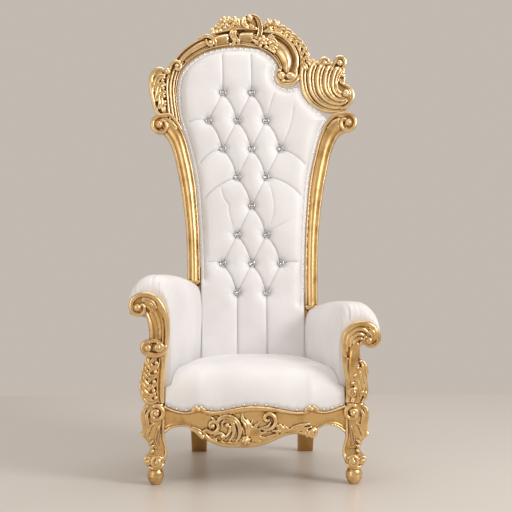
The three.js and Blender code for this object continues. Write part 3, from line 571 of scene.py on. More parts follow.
@dataclass(frozen=True)
class GildedWood(Finish):
    """Carved wood, gilded, with a brown glaze in the hollows that is laid on deeper as painted shade.

    The eye gets a warm satin metal with a painted highlight on the ridges, outlined in brown.
    """

    name: str = "antique gilded wood"
    slot: str = "gilded_wood"
    hollow_depth: float = 0.0009
    gold: str = "#E9C182"
    # Painted highlight: a pale cream mixed onto the ridges.
    ridge_highlight: str = "#FFF1D0"
    shade: str = "#C6995A"
    # The real brown glaze in the hollows, laid on deeper as painted shade.
    glaze_and_shade: str = "#4E2C0E"
    patch_mm: float = 60.0
    leaf_mm: float = 9.0

    def wire(self, tree: Tree) -> None:
        """Gold by patches, a painted highlight on the ridges, the glaze with painted shade in the hollows,
        and a faint unevenness from the gesso.
        """
        hollow = hollows(tree)
        patches = object_noise(tree, self.patch_mm)
        leaf = object_noise(tree, self.leaf_mm, 3.0)
        tone = ramp(tree, patches, {0.3: self.shade, 0.5: self.gold, 0.75: self.gold})
        # Painted highlight: the more a point stands out as a ridge, the more it turns pale cream.
        lit = mixed(tree, mapped(tree, hollow, (-0.15, -0.9), (0.0, 0.8)), tone, self.ridge_highlight)
        # Painted shade with the real glaze: leaf noise plus hollowness sets how far the hollows go brown,
        # less metallic and rougher.
        leaf_and_hollow = add(tree, "ShaderNodeMath", {"operation": "MULTIPLY_ADD", 1: 0.3}, {0: leaf, 2: hollow})
        deep = mapped(tree, leaf_and_hollow.outputs[0], (0.34, 0.95), (0.0, 1.0))
        bump = add(tree, "ShaderNodeBump", {"Strength": 0.12, "Distance": 0.0015}, {"Height": leaf})
        self.shader(tree, {}, {
            "Base Color": mixed(tree, deep, lit, self.glaze_and_shade),
            "Metallic": mapped(tree, deep, (0.0, 1.0), (0.96, 0.25)),
            "Roughness": mapped(tree, deep, (0.0, 1.0), (0.3, 0.6)),
            "Normal": bump.outputs[0],
        })


@dataclass(frozen=True)
class Leatherette(Finish):
    """Coated fabric, calendered with a fine grain: a warm white with a soft sheen, with painted shade that
    greys the folds.
    """

    name: str = "white leatherette"
    slot: str = "white_leather"
    hollow_reach: int = 2
    hollow_depth: float = 0.0010
    white: str = "#F2F1F2"
    cloudy: str = "#EBE9E9"
    # Painted shade: the grey mixed into creases and folds.
    crease_shade: str = "#ABA39F"
    grain_mm: float = 1.6
    patch_mm: float = 140.0

    def wire(self, tree: Tree) -> None:
        """White by patches, painted shade greying the folds, and the grain as a bump."""
        tone = ramp(tree, object_noise(tree, self.patch_mm), {0.35: self.cloudy, 0.65: self.white})
        # Painted shade: the hollower a point, the more of the grey it takes.
        deep = mapped(tree, hollows(tree), (0.2, 1.0), (0.0, 0.6))
        where = add(tree, "ShaderNodeTexCoord", {}, {}).outputs["Object"]
        grain = add(tree, "ShaderNodeTexVoronoi", {"Scale": 1 / (self.grain_mm * MM)}, {"Vector": where})
        bump = add(
            tree, "ShaderNodeBump", {"Strength": 0.08, "Distance": 0.0006},
            {"Height": grain.outputs["Distance"]},
        )
        self.shader(
            tree, {"Roughness": 0.46, "IOR": 1.5, "Coat Weight": 0.12, "Coat Roughness": 0.3},
            {"Base Color": mixed(tree, deep, tone, self.crease_shade), "Normal": bump.outputs[0]},
        )


@dataclass(frozen=True)
class CutCrystal(Finish):
    """Lead crystal, cut and polished: clear, with bright and dark facets."""

    name: str = "cut lead crystal"
    slot: str = "crystal"

    def wire(self, tree: Tree) -> None:
        """Clear and nearly mirror-smooth."""
        self.shader(tree, {
            "Base Color": linear("#FFFFFF"), "Roughness": 0.02, "IOR": 1.56, "Transmission Weight": 1.0,
        }, {})


@dataclass(frozen=True)
class SilverTrim(Finish):
    """Nickel-plated steel, pressed: a cool bright metal for the nail heads and the buttons' rims."""

    name: str = "nickel-plated trim"
    slot: str = "silver_trim"
    tone: str = "#E2E4E6"
    patch_mm: float = 6.0

    def wire(self, tree: Tree) -> None:
        """A bright metal with small differences in polish."""
        polish = mapped(tree, object_noise(tree, self.patch_mm), (0.3, 0.7), (0.16, 0.34))
        self.shader(tree, {"Base Color": linear(self.tone), "Metallic": 1.0}, {"Roughness": polish})


@dataclass(frozen=True)
class PaleFloor(Finish):
    """Plain honed stone: pale, even, with a faint reflection."""

    name: str = "pale honed floor"

    def wire(self, tree: Tree) -> None:
        """An even pale tone."""
        self.shader(tree, {"Base Color": linear("#D9D3CC"), "Roughness": 0.34, "IOR": 1.5}, {})


GOLD, LEATHER, CRYSTAL, SILVER = GildedWood(), Leatherette(), CutCrystal(), SilverTrim()
# A darker copy of the gilding for the plain members: painted shade, as they stand back in shadow.
SHADED_GOLD = GildedWood(name="gilded wood darkened as painted shade", gold="#A67C42", ridge_highlight="#C49A5C", shade="#835C2C")


# ---- carving ----


def even_ground(x: Array) -> Array:
    """A flat ground at depth 0."""
    return np.zeros_like(x)


class Carving:
    """Closed shapes that overlap and are fused into one carved piece, drawn in millimetres."""

    def __init__(self, ground: Callable[[Array], Array] = even_ground) -> None:
        """Starts an empty carving.

        Args:
            ground: the depth of the ground at each x, which every shape follows.
        """
        self.bm = bmesh.new()
        self.ground = ground

    def ground_at(self, x: float) -> float:
        """The ground's depth at one x."""
        return float(self.ground(np.array([float(x)]))[0])

    def loft(self, section: Array, steps: int, place: Place) -> None:
        """Sweeps a closed section.

        Args:
            section: its corners as rows (u, v).
            steps: spans along the sweep.
            place: gives the points for rows of u, v and share along.
        """
        mesh, turn, along = tube(len(section), steps)
        shaped = mesh.copy()
        set_spots(shaped, place(section[turn, 0], section[turn, 1], along))
        merge(self.bm, shaped)

    def bar(
        self,
        points: Points,
        radii: float | Sequence[float],
        kind: Section = ROUND,
        flat: float = 1.0,
        depth: float | None = None,
    ) -> None:
        """A stroke with rounded ends along a line.

        Args:
            points: the line's points.
            radii: half its width, along the line.
            kind: its section.
            flat: its height against its half width.
            depth: the depth of its middle, where the points don't give one.
        """
        line = Line(points if depth is None else at_depth(points, depth))
        steps = int(min(max(line.length / 5, 6), 60))

        def place(u: Array, v: Array, along: Array) -> Array:
            """A corner of the stroke."""
            share = 0.5 - 0.5 * np.cos(along * math.pi)
            spots, ways = line.at(share), line.way(share)
            radius = blend(radii, share)
            from_end = np.minimum(share, 1 - share) * line.length
            radius = radius * dome(from_end / (radius + 1e-6), 0.96)
            across = np.stack([-ways[:, 2], np.zeros_like(u), ways[:, 0]], axis=1)
            across /= np.linalg.norm(across, axis=1, keepdims=True) + 1e-9
            spots = spots + across * (u * radius)[:, None]
            spots[:, 1] += self.ground(spots[:, 0]) - v * radius * flat
            return spots

        self.loft(corners_of(kind), steps, place)

    def bars(
        self,
        strokes: Sequence[tuple[Points, float | Sequence[float]]],
        kind: Section = ROUND,
        flat: float = 1.0,
        depth: float | None = None,
    ) -> None:
        """Several strokes of one kind, each with its points and radii."""
        for points, radii in strokes:
            self.bar(points, radii, kind, flat, depth)

    def moulding(
        self,
        inner: Points,
        outer: Points,
        profile: Points,
        rear: float = FRAME_REAR - 4,
        span: tuple[float, float] = (0.0, 1.0),
        across: tuple[float, float] = (0.0, 1.0),
        ends: float = 0.0,
        steps: int = 60,
    ) -> None:
        """A moulded band between two edges.

        Args:
            inner, outer: the edges' points, from the same end.
            profile: rows of share across, and height to the front.
            rear: the depth of its flat rear.
            span: the shares of the length that it covers.
            across: the shares between the edges that it covers.
            ends: over what length its two ends are rounded off.
            steps: spans along it.
        """
        near, far = Line(inner), Line(outer)
        length = (near.length + far.length) / 2 * (span[1] - span[0])
        section = np.array([*profile, (1, -rear), (0, -rear)], float)

        def place(u: Array, v: Array, along: Array) -> Array:
            """A corner of the band."""
            share = span[0] + (span[1] - span[0]) * along
            side = across[0] + (across[1] - across[0]) * u
            if ends:
                from_end = np.minimum(along, 1 - along) * length
                swell = dome(from_end / ends, 0.98)
                middle = (across[0] + across[1]) / 2
                side = middle + (side - middle) * (0.35 + 0.65 * swell)
                v = np.where(v > -rear, v * swell - (1 - swell) * 2, v)
            spots = near.at(share) * (1 - side[:, None]) + far.at(share) * side[:, None]
            spots[:, 1] += self.ground(spots[:, 0]) - v
            return spots

        self.loft(section, steps, place)

    def plate(
        self, outline: Points, front: float, rear: float, ease_by: float = 3.0, count: int = 64
    ) -> None:
        """A flat plate inside a smooth closed outline, between two depths, its edges rounded.

        Args:
            outline: the outline's points.
            front, rear: the depths of its two faces.
            ease_by: the rounding of its edges.
            count: corners round it.
        """
        line = Line(outline, closed=True)
        rim = line.at(np.arange(count) / count)
        bm = bmesh.new()
        bmesh.ops.create_circle(bm, cap_ends=True, segments=count, radius=1)
        angles = sorted(bm.verts, key=lambda v: math.atan2(v.co.y, v.co.x) % (2 * math.pi))
        for vert, spot in zip(angles, rim):
            vert.co = (spot[0], rear + self.ground_at(spot[0]), spot[2])
        top = verts_in(bmesh.ops.extrude_face_region(bm, geom=bm.faces[:])["geom"])
        bmesh.ops.translate(bm, vec=(0, front - rear, 0), verts=top)
        outward(bm)
        edges = {e for v in top for e in v.link_edges if all(w in top for w in e.verts)}
        bevelled(bm, list(edges), ease_by, 2)
        merge(self.bm, as_mesh("plate", bm))

    def bead(self, x: float, z: float, radius: float, y: float = -6.0, flat: float = 1.0) -> None:
        """A round bead half sunk in the ground."""
        turn = Matrix.Translation((x, y + self.ground_at(x), z)) @ Matrix.Diagonal((1, flat, 1, 1))
        bmesh.ops.create_icosphere(self.bm, subdivisions=3, radius=radius, matrix=turn)

    def beads(self, y: float, places: Sequence[tuple[float, float, float]], flat: float = 1.0) -> None:
        """Several beads at one depth, each with its x, z and radius."""
        for x, z, radius in places:
            self.bead(x, z, radius, y, flat)

    def flower(self, x: float, z: float, radius: float, y: float = -6.0, petals: int = 5) -> None:
        """A blossom: dished petals round a raised eye.

        Args:
            x, z: its middle.
            radius: its radius.
            y: the depth of its ground.
            petals: how many it has.
        """
        base = y + self.ground_at(x)
        spread, dish = radius * 0.58, 0.5
        for i in range(petals):
            angle = (i + 0.25) / petals * 2 * math.pi
            spot = (x + spread * math.cos(angle), base - radius * 0.2, z + spread * math.sin(angle))
            turn = Matrix.Translation(spot) @ Matrix.Rotation(-angle, 4, "Y")
            size = turn @ Matrix.Rotation(dish, 4, "Z") @ Matrix.Diagonal((0.46, 0.4, 0.4, 1))
            bmesh.ops.create_icosphere(self.bm, subdivisions=2, radius=radius, matrix=size)
        self.bead(x, z, radius * 0.28, y=y - radius * 0.45)

    def spiral(
        self, x: float, z: float, outer: float, inner: float, start: float, turns: float,
        radii: Sequence[float], eye: float, depth: float = -6.0, rise: float = 4.0,
    ) -> None:
        """A volute with its eye: a stroke that winds in and rises towards the middle.

        Args:
            x, z, outer, inner, start, turns: the spiral, as in volute().
            radii: half the stroke's width, along it.
            eye: the radius of the ball at its middle.
            depth: the depth at its outer end.
            rise: how much further forward its middle stands.
        """
        points = volute(x, z, outer, inner, start, turns)
        last = len(points) - 1
        self.bar([(px, pz, depth - rise * i / last) for i, (px, pz) in enumerate(points)], radii)
        self.bead(x, z, eye, y=depth - rise * 0.6, flat=0.95)

    def fused(self, name: str, voxel: float, most: int, left: bool = False) -> Object:
        """Fuses the shapes into one surface.

        Args:
            name: the piece's name.
            voxel: the finest detail that is kept.
            most: the most triangles that it may have.
            left: whether the drawing is turned over to the left side.

        Returns:
            The piece, still in millimetres.
        """
        if left:
            mirrored(self.bm)
        outward(self.bm)
        item = as_object(name, self.bm)
        fuse = item.modifiers.new("fuse", "REMESH")
        fuse.mode = "VOXEL"
        fuse.voxel_size = voxel
        settled(item)
        relax(item.data, 3)
        triangles = triangles_of(item.data)
        if triangles > most:
            thin = item.modifiers.new("thin", "DECIMATE")
            thin.ratio = most / triangles
            settled(item)
        return item


# ---- the back frame ----

POST_INNER = ((214, 740), (218, 900), (225, 1010), (236, 1125), (256, 1230), (291, 1345), (338, 1407))
POST_OUTER = ((267, 736), (272, 899), (285, 1030), (304, 1146), (331, 1262), (361, 1322), (392, 1345))
RAIL_INNER = (
    (-296, 1376), (-312, 1470), (-313, 1540), (-297, 1598), (-258, 1646), (-200, 1682), (-130, 1702),
    (-52, 1708), (36, 1696),
)
RAIL_OUTER = (
    (-344, 1376), (-357, 1470), (-360, 1550), (-338, 1622), (-288, 1688), (-218, 1737), (-140, 1757),
    (-52, 1766), (42, 1757),
)
HALF_ROUND = ((0, 0), (0.06, 5), (0.2, 9), (0.38, 11.5), (0.62, 11.5), (0.8, 9), (0.94, 5), (1, 0))
BROAD = (
    (0, 1), (0.05, 6), (0.16, 11), (0.34, 15.5), (0.52, 17), (0.7, 15), (0.86, 10.5), (0.95, 6), (1, 1),
)


@dataclass
class BackPost:
    """A moulded post with a volute at the shoulder, on a plain stile down to the rear leg."""

    name: str
    foot: float
    left: bool = False
    voxel: float = 1.7
    most: int = 60000
    eye: tuple[float, float] = (399, 1377)
    moved: tuple[float, float] = (0, 0)
    tip_x: float = 240.5
    profile: Points = (
        (0, 3), (0.03, 7.5), (0.07, 9.5), (0.11, 8.5), (0.135, 5.5), (0.16, 6), (0.2, 10), (0.28, 14.5),
        (0.39, 17.3), (0.51, 17.5), (0.63, 15.3), (0.73, 11.5), (0.775, 8), (0.8, 7), (0.83, 8.5),
        (0.88, 9.5), (0.93, 8.5), (0.97, 5), (1, 1),
    )

    def shaft(self, carving: Carving) -> None:
        """The moulding: a broad round band between two fillets."""
        inner = [(214, self.foot), *POST_INNER]
        outer = [(267, self.foot), *POST_OUTER]
        carving.moulding(inner, outer, self.profile, steps=110)

    def tip(self, carving: Carving) -> None:
        """The moulded end of the shaft, faceted like a cut pencil."""
        x, z = self.tip_x, self.foot
        for half, drop, rise in ((28, 0, 14), (24, 7, 12), (14, 15, 9)):
            ends = [(x - half, z - drop), (x + half, z - drop)]
            carving.bar(ends, [5.5, 6, 5.5], depth=-rise + 6, flat=1.6)
        carving.loft(
            np.array([(-1, 8), (1, 8), (1, -30), (-1, -30)], float), 6,
            lambda u, v, along: np.stack([x + u * (27 - 17 * along), -v, z + 3 - 20 * along], axis=1),
        )

    def scroll(self, carving: Carving) -> None:
        """The volute: the shaft's inner fillet runs over the shoulder and winds in to a ball."""
        (x, z), (dx, dz) = self.eye, self.moved
        x, z = x + dx, z + dz
        carving.plate(volute(x - 3, z, 34, 34, 0, 0.9), -3, FRAME_REAR - 5, 3, 40)
        carving.plate([
            (296, 1340), (338, 1330), (372, 1334), (392, 1350), (x, z + 20), (350, 1404), (322, 1392),
        ], -6, FRAME_REAR - 5, 3, 40)
        rim = [
            (292, 1346, -6), (318, 1386, -9), (342, 1408, -11), (x - 20, z + 40, -12), (x + 8, z + 36, -12),
            (x + 27, z + 16, -13), (x + 27, z - 10, -13), (x + 8, z - 30, -13), (x - 16, z - 30, -14),
            (x - 30, z - 12, -16), (x - 26, z + 10, -18), (x - 10, z + 18, -20),
        ]
        carving.bar(rim, [4, 6, 7.5, 8.5, 9, 9, 9, 9, 9, 8.5, 8, 7, 5])
        carving.bar([(312, 1352, -8), (338, 1380, -10), (366, 1392, -9), (386, 1384, -7)], [5, 9, 8, 4])
        carving.bar([(334, 1344, -8), (356, 1362, -10), (368, 1380, -9)], [4, 8, 4])
        carving.bead(x, z, 16, -16)

    def build(self) -> None:
        """Makes the post."""
        carving = Carving()
        self.shaft(carving)
        self.tip(carving)
        self.scroll(carving)
        stile = [(STILE_INNER, STILE_BOTTOM), (STILE_INNER, self.foot + 60)]
        rail = [(STILE_OUTER, STILE_BOTTOM), (STILE_OUTER, self.foot + 60)]
        carving.moulding(stile, rail, ((0, -4), (0.08, -2), (0.92, -2), (1, -4)), FRAME_REAR - 4, steps=4)
        item = carving.fused(self.name, self.voxel, self.most, self.left)
        finished(item, back_place(), GOLD, [self.name])


@dataclass
class Crest:
    """The carved rail from the left shoulder over the top to the shell on the right shoulder."""

    voxel: float = 1.9
    most: int = 190000
    rows: int = 5

    def rail(self, carving: Carving) -> None:
        """The moulded rail: fillets by the cushion, bands up the side, smooth panels over the top."""
        low = ((0, 1), (0.04, 4), (0.5, 5), (0.96, 4), (1, 1))
        edges = (RAIL_INNER, RAIL_OUTER)
        rear = 10
        carving.moulding(*edges, low, steps=90)
        carving.moulding(*edges, HALF_ROUND, rear, across=(0.0, 0.16), steps=90)
        for lift, span, across, ends, steps in (
            (1, (0.0, 0.44), (0.175, 0.41), 20, 50), (4, (0.0, 0.43), (0.42, 0.71), 26, 50),
            (1, (0.0, 0.39), (0.72, 1.02), 26, 50), (-1, (0.44, 1.0), (0.16, 0.26), 12, 60),
            (2, (0.4, 0.7), (0.84, 1.03), 14, 60),
        ):
            band = [(u, v + lift) for u, v in HALF_ROUND]
            carving.moulding(*edges, band, rear, span, across, ends, steps)
        carving.moulding(*edges, BROAD, rear, (0.4, 0.692), (0.27, 0.82), 44, 50)
        for inner, outer, ends in (
            ([(-161, 1704), (-128, 1709), (-96, 1712)], [(-170, 1743), (-130, 1759), (-91, 1765)], 12),
            ([(-64, 1715), (-28, 1718), (6, 1720)], [(-60, 1765), (-20, 1770), (14, 1767)], 14),
        ):
            carving.moulding(inner, outer, BROAD, rear, ends=ends, steps=30)

    def bands(self, carving: Carving) -> None:
        """The curls, the collar and the twisted clasp that part the panels."""
        carving.bar([
            (-348, 1560, -5), (-346, 1592, -10), (-338, 1622, -13), (-320, 1637, -14), (-302, 1630, -15),
            (-298, 1612, -16), (-310, 1600, -18), (-322, 1608, -19),
        ], [5, 7, 8, 8, 8, 7.5, 7, 5])
        carving.bead(-315, 1617, 9, -17)
        carving.bar([
            (-228, 1736, -8), (-204, 1745, -13), (-180, 1744, -15), (-160, 1730, -15), (-151, 1706, -9),
        ], [4, 7, 8.5, 8, 5], REED)
        carving.bar([
            (-192, 1734, -13), (-190, 1718, -15), (-176, 1706, -16), (-163, 1714, -17), (-168, 1728, -18),
        ], [5, 6.5, 7, 6, 4])
        carving.bead(-176, 1719, 8, -16)
        carving.bars((
            ([(-76, 1774, -9), (-88, 1758, -14), (-82, 1740, -16), (-74, 1726, -14), (-84, 1706, -8)],
             [6, 9, 8, 8, 5]),
            ([(-66, 1772, -9), (-74, 1754, -13), (-68, 1736, -16), (-58, 1724, -16), (-56, 1710, -9)],
             [5, 8, 8, 8, 5]),
        ), LEAF)
        carving.beads(-13, ((-57, 1727, 9), (-84, 1752, 6), (-92, 1712, 6)))

    def left_shoulder(self, carving: Carving) -> None:
        """The leafy ornament that stands on the left shoulder."""
        carving.plate([
            (-384, 1612), (-412, 1596), (-425, 1562), (-425, 1515), (-415, 1464), (-396, 1418),
            (-345, 1396), (-346, 1500), (-350, 1585), (-362, 1602),
        ], -5, FRAME_REAR - 6, 5)
        carving.bar([
            (-352, 1400), (-390, 1416), (-408, 1452), (-418, 1500), (-422, 1545), (-418, 1578),
            (-402, 1600), (-384, 1606), (-368, 1598), (-364, 1584), (-376, 1578),
        ], [5, 7, 8, 8, 8.5, 10, 11, 11, 10, 8, 6], depth=-8)
        carving.bars((
            ([(-372, 1590), (-388, 1594), (-402, 1582), (-406, 1560)], [6, 9, 9, 6]),
            ([(-362, 1568), (-380, 1574), (-396, 1560), (-406, 1532), (-406, 1506)], [8, 13, 14, 12, 6]),
            ([(-362, 1534), (-376, 1540), (-390, 1522), (-394, 1492), (-402, 1466)], [8, 13, 14, 12, 6]),
            ([(-360, 1500), (-370, 1506), (-382, 1486), (-380, 1458), (-390, 1434)], [7, 12, 13, 12, 6]),
            ([(-358, 1466), (-366, 1466), (-370, 1442), (-366, 1418)], [6, 10, 11, 7]),
        ), LEAF, 0.8, -9)
        carving.beads(-15, (
            (-352, 1594, 14), (-373, 1554, 7), (-370, 1521, 7), (-366, 1487, 6.5), (-362, 1452, 6),
        ))

    def left_flowers(self, carving: Carving) -> None:
        """The flowers left of the middle, with berries and leaves between them."""
        carving.plate([
            (-158, 1756), (-150, 1784), (-134, 1800), (-122, 1818), (-96, 1818), (-66, 1818), (-44, 1806),
            (-30, 1766), (-100, 1760),
        ], 5, FRAME_REAR - 8, 4)
        blossoms = ((-117, 1808, 26, 5), (-72, 1810, 25, 5), (-142, 1784, 20, 5), (-98, 1790, 17, 4))
        for x, z, radius, petals in blossoms:
            carving.flower(x, z, radius, -3, petals)
        for points in (
            [(-44, 1786), (-52, 1804), (-46, 1822)], [(-36, 1784), (-36, 1800), (-44, 1812)],
            [(-160, 1762), (-167, 1770), (-160, 1782)], [(-124, 1780), (-134, 1794), (-128, 1806)],
            [(-72, 1784), (-90, 1786), (-94, 1800)], [(-100, 1812), (-97, 1824), (-92, 1832)],
        ):
            carving.bar(points, [6, 10, 6], LEAF, 1.1, -8)
        carving.beads(-9, (
            (-166, 1762, 9), (-151, 1767, 8), (-134, 1772, 8), (-95, 1810, 9), (-116, 1784, 8),
        ))
        carving.bar([(-160, 1762), (-100, 1777), (-40, 1784), (22, 1780)], [6, 8, 8, 6], REED, 1, -9)

    def middle_scroll(self, carving: Carving) -> None:
        """The great C-scroll that crowns the middle."""
        carving.plate([
            (-34, 1768), (-34, 1808), (-12, 1828), (20, 1822), (38, 1796), (40, 1752), (14, 1716),
            (-30, 1720),
        ], 2, FRAME_REAR - 4)
        inner = [
            (-17, 1806), (-19, 1818), (-10, 1830), (3, 1831), (14, 1822), (21, 1804), (23, 1780),
            (19, 1756), (11, 1738), (2, 1722),
        ]
        outer = [
            (-30, 1796), (-39, 1810), (-33, 1831), (-12, 1842), (13, 1842), (34, 1828), (45, 1803),
            (48, 1778), (44, 1750), (34, 1728), (22, 1708),
        ]
        profile = (
            (0, 2), (0.06, 7), (0.14, 9), (0.22, 6), (0.27, 2), (0.34, 8), (0.42, 12), (0.5, 9), (0.55, 5),
            (0.63, 14), (0.75, 18), (0.88, 15), (1, 6),
        )
        carving.moulding(inner, outer, profile, 10, ends=12, steps=70)
        carving.bar([(-14, 1784), (-30, 1794), (-36, 1812), (-26, 1828)], [7, 12, 13, 9], LEAF, 1, -12)
        carving.bar([(10, 1786), (-4, 1790), (-16, 1802)], [6, 9, 7], LEAF, 1.1, -9)
        carving.bead(-9, 1821, 14, -20)
        carving.bar([(-22, 1732, -8), (4, 1730, -10), (24, 1716, -11), (40, 1700, -8)], [3, 6, 8, 5])
        carving.bar([(-14, 1746, -8), (6, 1745, -11), (22, 1736, -11)], [3, 6, 4], LEAF)

    def right_scroll(self, carving: Carving) -> None:
        """The large smooth scroll right of the middle, with its rims and the roses at its root."""
        carving.plate([
            (40, 1702), (92, 1657), (110, 1610), (104, 1574), (118, 1550), (150, 1540), (186, 1552),
            (206, 1580), (212, 1640), (224, 1660), (204, 1704), (156, 1750), (110, 1784), (70, 1800),
            (48, 1794), (40, 1752),
        ], 0, FRAME_REAR - 4)
        inner = [(22, 1699), (58, 1682), (92, 1652), (112, 1618), (116, 1592)]
        outer = [(46, 1764), (106, 1748), (156, 1708), (178, 1650), (168, 1586)]
        carving.moulding(inner, outer, HALF_ROUND, 10, across=(0, 0.1), steps=50)
        carving.moulding(
            inner, outer, [(u, v - 3) for u, v in HALF_ROUND], 10, across=(0.12, 0.19), steps=50,
        )
        bowl = ((0, 1), (0.05, 6), (0.2, 13), (0.42, 19), (0.56, 20), (0.74, 16), (0.92, 8), (1, 2))
        carving.moulding(inner, outer, bowl, 10, (0.1, 1.0), (0.22, 0.9), 40, 50)
        rim = [(48, 1768), (112, 1756), (161, 1716), (186, 1666), (188, 1622), (178, 1590)]
        carving.bar(rim, [4, 6.5, 7.5, 7.5, 7, 5], depth=-12)
        rim = [(66, 1778), (124, 1767), (176, 1726), (203, 1670), (206, 1618), (200, 1578)]
        carving.bar(rim, [3, 4.5, 5.5, 6, 6, 5], depth=-8)
        lip = [
            (112, 1604), (104, 1586), (103, 1566), (116, 1547), (140, 1539), (166, 1543), (186, 1558),
            (198, 1584),
        ]
        carving.bar(lip, [5, 7.5, 9, 9.5, 9.5, 9, 7.5, 4], depth=-8)
        carving.bar([
            (124, 1556), (146, 1553), (168, 1560), (182, 1580), (186, 1604),
        ], [3, 6, 7, 7, 4], depth=-12)
        turn = Matrix.Translation((159, -13, 1577)) @ Matrix.Diagonal((20, 12, 15, 1))
        bmesh.ops.create_icosphere(carving.bm, subdivisions=3, radius=1, matrix=turn)
        carving.beads(-11, ((122, 1578, 17), (129, 1556, 9), (113, 1600, 8)))
        carving.flower(47, 1727, 25, -8, 5)
        carving.bars((
            ([(64, 1742), (80, 1745), (94, 1736)], [7, 11, 6]),
            ([(68, 1726), (88, 1728), (106, 1714)], [8, 13, 6]),
            ([(68, 1710), (90, 1708), (110, 1690)], [8, 13, 6]),
            ([(62, 1698), (82, 1690), (98, 1674)], [7, 11, 6]),
        ), LEAF, 1.1, -12)
        carving.beads(-16, ((74, 1717, 9), (58, 1700, 8), (34, 1704, 8)))

    def garland(self, carving: Carving) -> None:
        """The berries and the leaves that hang outside the scroll down to the shell."""
        carving.plate([
            (52, 1784), (54, 1812), (80, 1818), (112, 1808), (122, 1790), (150, 1768), (188, 1736),
            (214, 1708), (230, 1682), (236, 1655), (230, 1634), (208, 1640), (194, 1690), (156, 1734),
            (108, 1766),
        ], 2, FRAME_REAR - 8, 4, 80)
        line = Line([
            (110, 1780), (138, 1766), (168, 1741), (196, 1714), (213, 1687), (223, 1660), (226, 1634),
        ])
        count = 7
        for i in range(count):
            share = np.array([(i + 0.2) / count])
            (x, _, z), (dx, _, dz) = line.at(share)[0], line.way(share)[0]
            swell = 1 - 0.3 * i / count
            outer = ((-8, -2), (4, 9), (20, 13), (32, 6))
            spots = [(x + dx * a - dz * b * swell, z + dz * a + dx * b * swell) for a, b in outer]
            carving.bar(spots, [9, 14 * swell, 12 * swell, 6], LEAF, 0.9, -8)
            spots = [(x + dx * a + dz * b, z + dz * a - dx * b) for a, b in ((0, 4), (8, 11), (17, 10))]
            carving.bar(spots, [7, 9 * swell, 6], LEAF, 1, -9)
        clusters = ((70, 1806, 17), (101, 1799, 19), (76, 1783, 12), (124, 1780, 13))
        berries = 5
        for x, z, radius in clusters:
            spread = radius * 0.62
            carving.bead(x, z, spread, -10)
            for i in range(berries):
                angle = 0.6 + i / berries * 2 * math.pi
                carving.bead(x + spread * math.cos(angle), z + spread * math.sin(angle), radius * 0.52, -7)
        for points in ([(54, 1774), (72, 1771), (88, 1776)], [(90, 1780), (106, 1772), (116, 1762)]):
            carving.bar(points, [6, 9, 6], LEAF, 1.1, -9)

    def shell(self, carving: Carving) -> None:
        """The ribbed shell on the right shoulder: nested arcs that gather at a ball."""
        carving.plate([
            (222, 1624), (206, 1590), (207, 1532), (237, 1476), (286, 1437), (345, 1424), (396, 1440),
            (414, 1480), (412, 1520), (392, 1548), (392, 1590), (380, 1630), (345, 1636), (300, 1634),
            (258, 1628),
        ], -2, FRAME_REAR - 2, 5)
        first = [
            (231, 1638), (217, 1600), (215, 1556), (227, 1502), (260, 1458), (306, 1434), (350, 1429),
            (388, 1441), (408, 1468),
        ]
        last = [
            (370, 1612), (354, 1588), (344, 1557), (341, 1528), (347, 1507), (358, 1494), (370, 1488),
            (380, 1486), (388, 1486),
        ]
        gaps = [math.dist(a, b) / (self.rows - 1) for a, b in zip(first, last)]
        for k in range(self.rows):
            share = k / (self.rows - 1)
            spots = []
            for i, ((xa, za), (xb, zb)) in enumerate(zip(first, last)):
                swell = -2 - 3.2 * k - 4 * math.sin(math.pi * i / (len(first) - 1))
                spots.append((xa + (xb - xa) * share, za + (zb - za) * share, swell))
            carving.bar(spots, [max(gap * 0.57, 4.5) for gap in gaps], RIB, 0.8)
        carving.bar([
            (374, 1540, -14), (396, 1534, -16), (414, 1518, -17), (420, 1494, -17), (412, 1466, -15),
            (392, 1446, -12), (366, 1436, -9),
        ], [4, 6.5, 7.5, 8, 8, 7.5, 4])
        carving.bar([(358, 1560, -16), (350, 1536, -19), (356, 1512, -20), (372, 1500, -20)], [4, 7, 8, 5])
        carving.bead(391, 1500, 17, -21)
        carving.beads(-10, (
            (366, 1634, 14), (303, 1634, 11), (379, 1592, 10), (382, 1555, 9), (333, 1628, 10),
            (274, 1632, 10),
        ), 0.85)
        carving.bars((
            ([(336, 1612, -9), (344, 1634, -11), (356, 1654, -11), (376, 1656, -11), (388, 1642, -11),
              (386, 1622, -11), (376, 1610, -10)], [5, 8, 10, 10.5, 10, 8, 5]),
            ([(278, 1620, -9), (286, 1642, -10), (300, 1652, -10), (316, 1648, -10), (322, 1634, -10)],
             [5, 8.5, 9.5, 8.5, 5]),
            ([(362, 1604, -12), (366, 1588, -13), (378, 1578, -13), (392, 1580, -12)], [5, 8, 8.5, 5]),
            ([(366, 1566, -14), (370, 1550, -15), (380, 1543, -15), (392, 1546, -13)], [5, 7.5, 8, 5]),
        ))
        for points in (
            [(226, 1646), (240, 1636), (248, 1614)], [(246, 1648), (258, 1636), (266, 1616)],
            [(212, 1632), (222, 1618), (226, 1598)],
        ):
            carving.bar(points, [8, 12, 6], LEAF, 1, -10)

    def build(self) -> None:
        """Makes the crest."""
        carving = Carving()
        for part in (
            self.rail, self.bands, self.left_shoulder, self.left_flowers,
            self.middle_scroll, self.right_scroll, self.garland, self.shell,
        ):
            part(carving)
        finished(carving.fused("crest_carving", self.voxel, self.most), back_place(), GOLD, ["crest"])


# ---- the back's upholstery ----

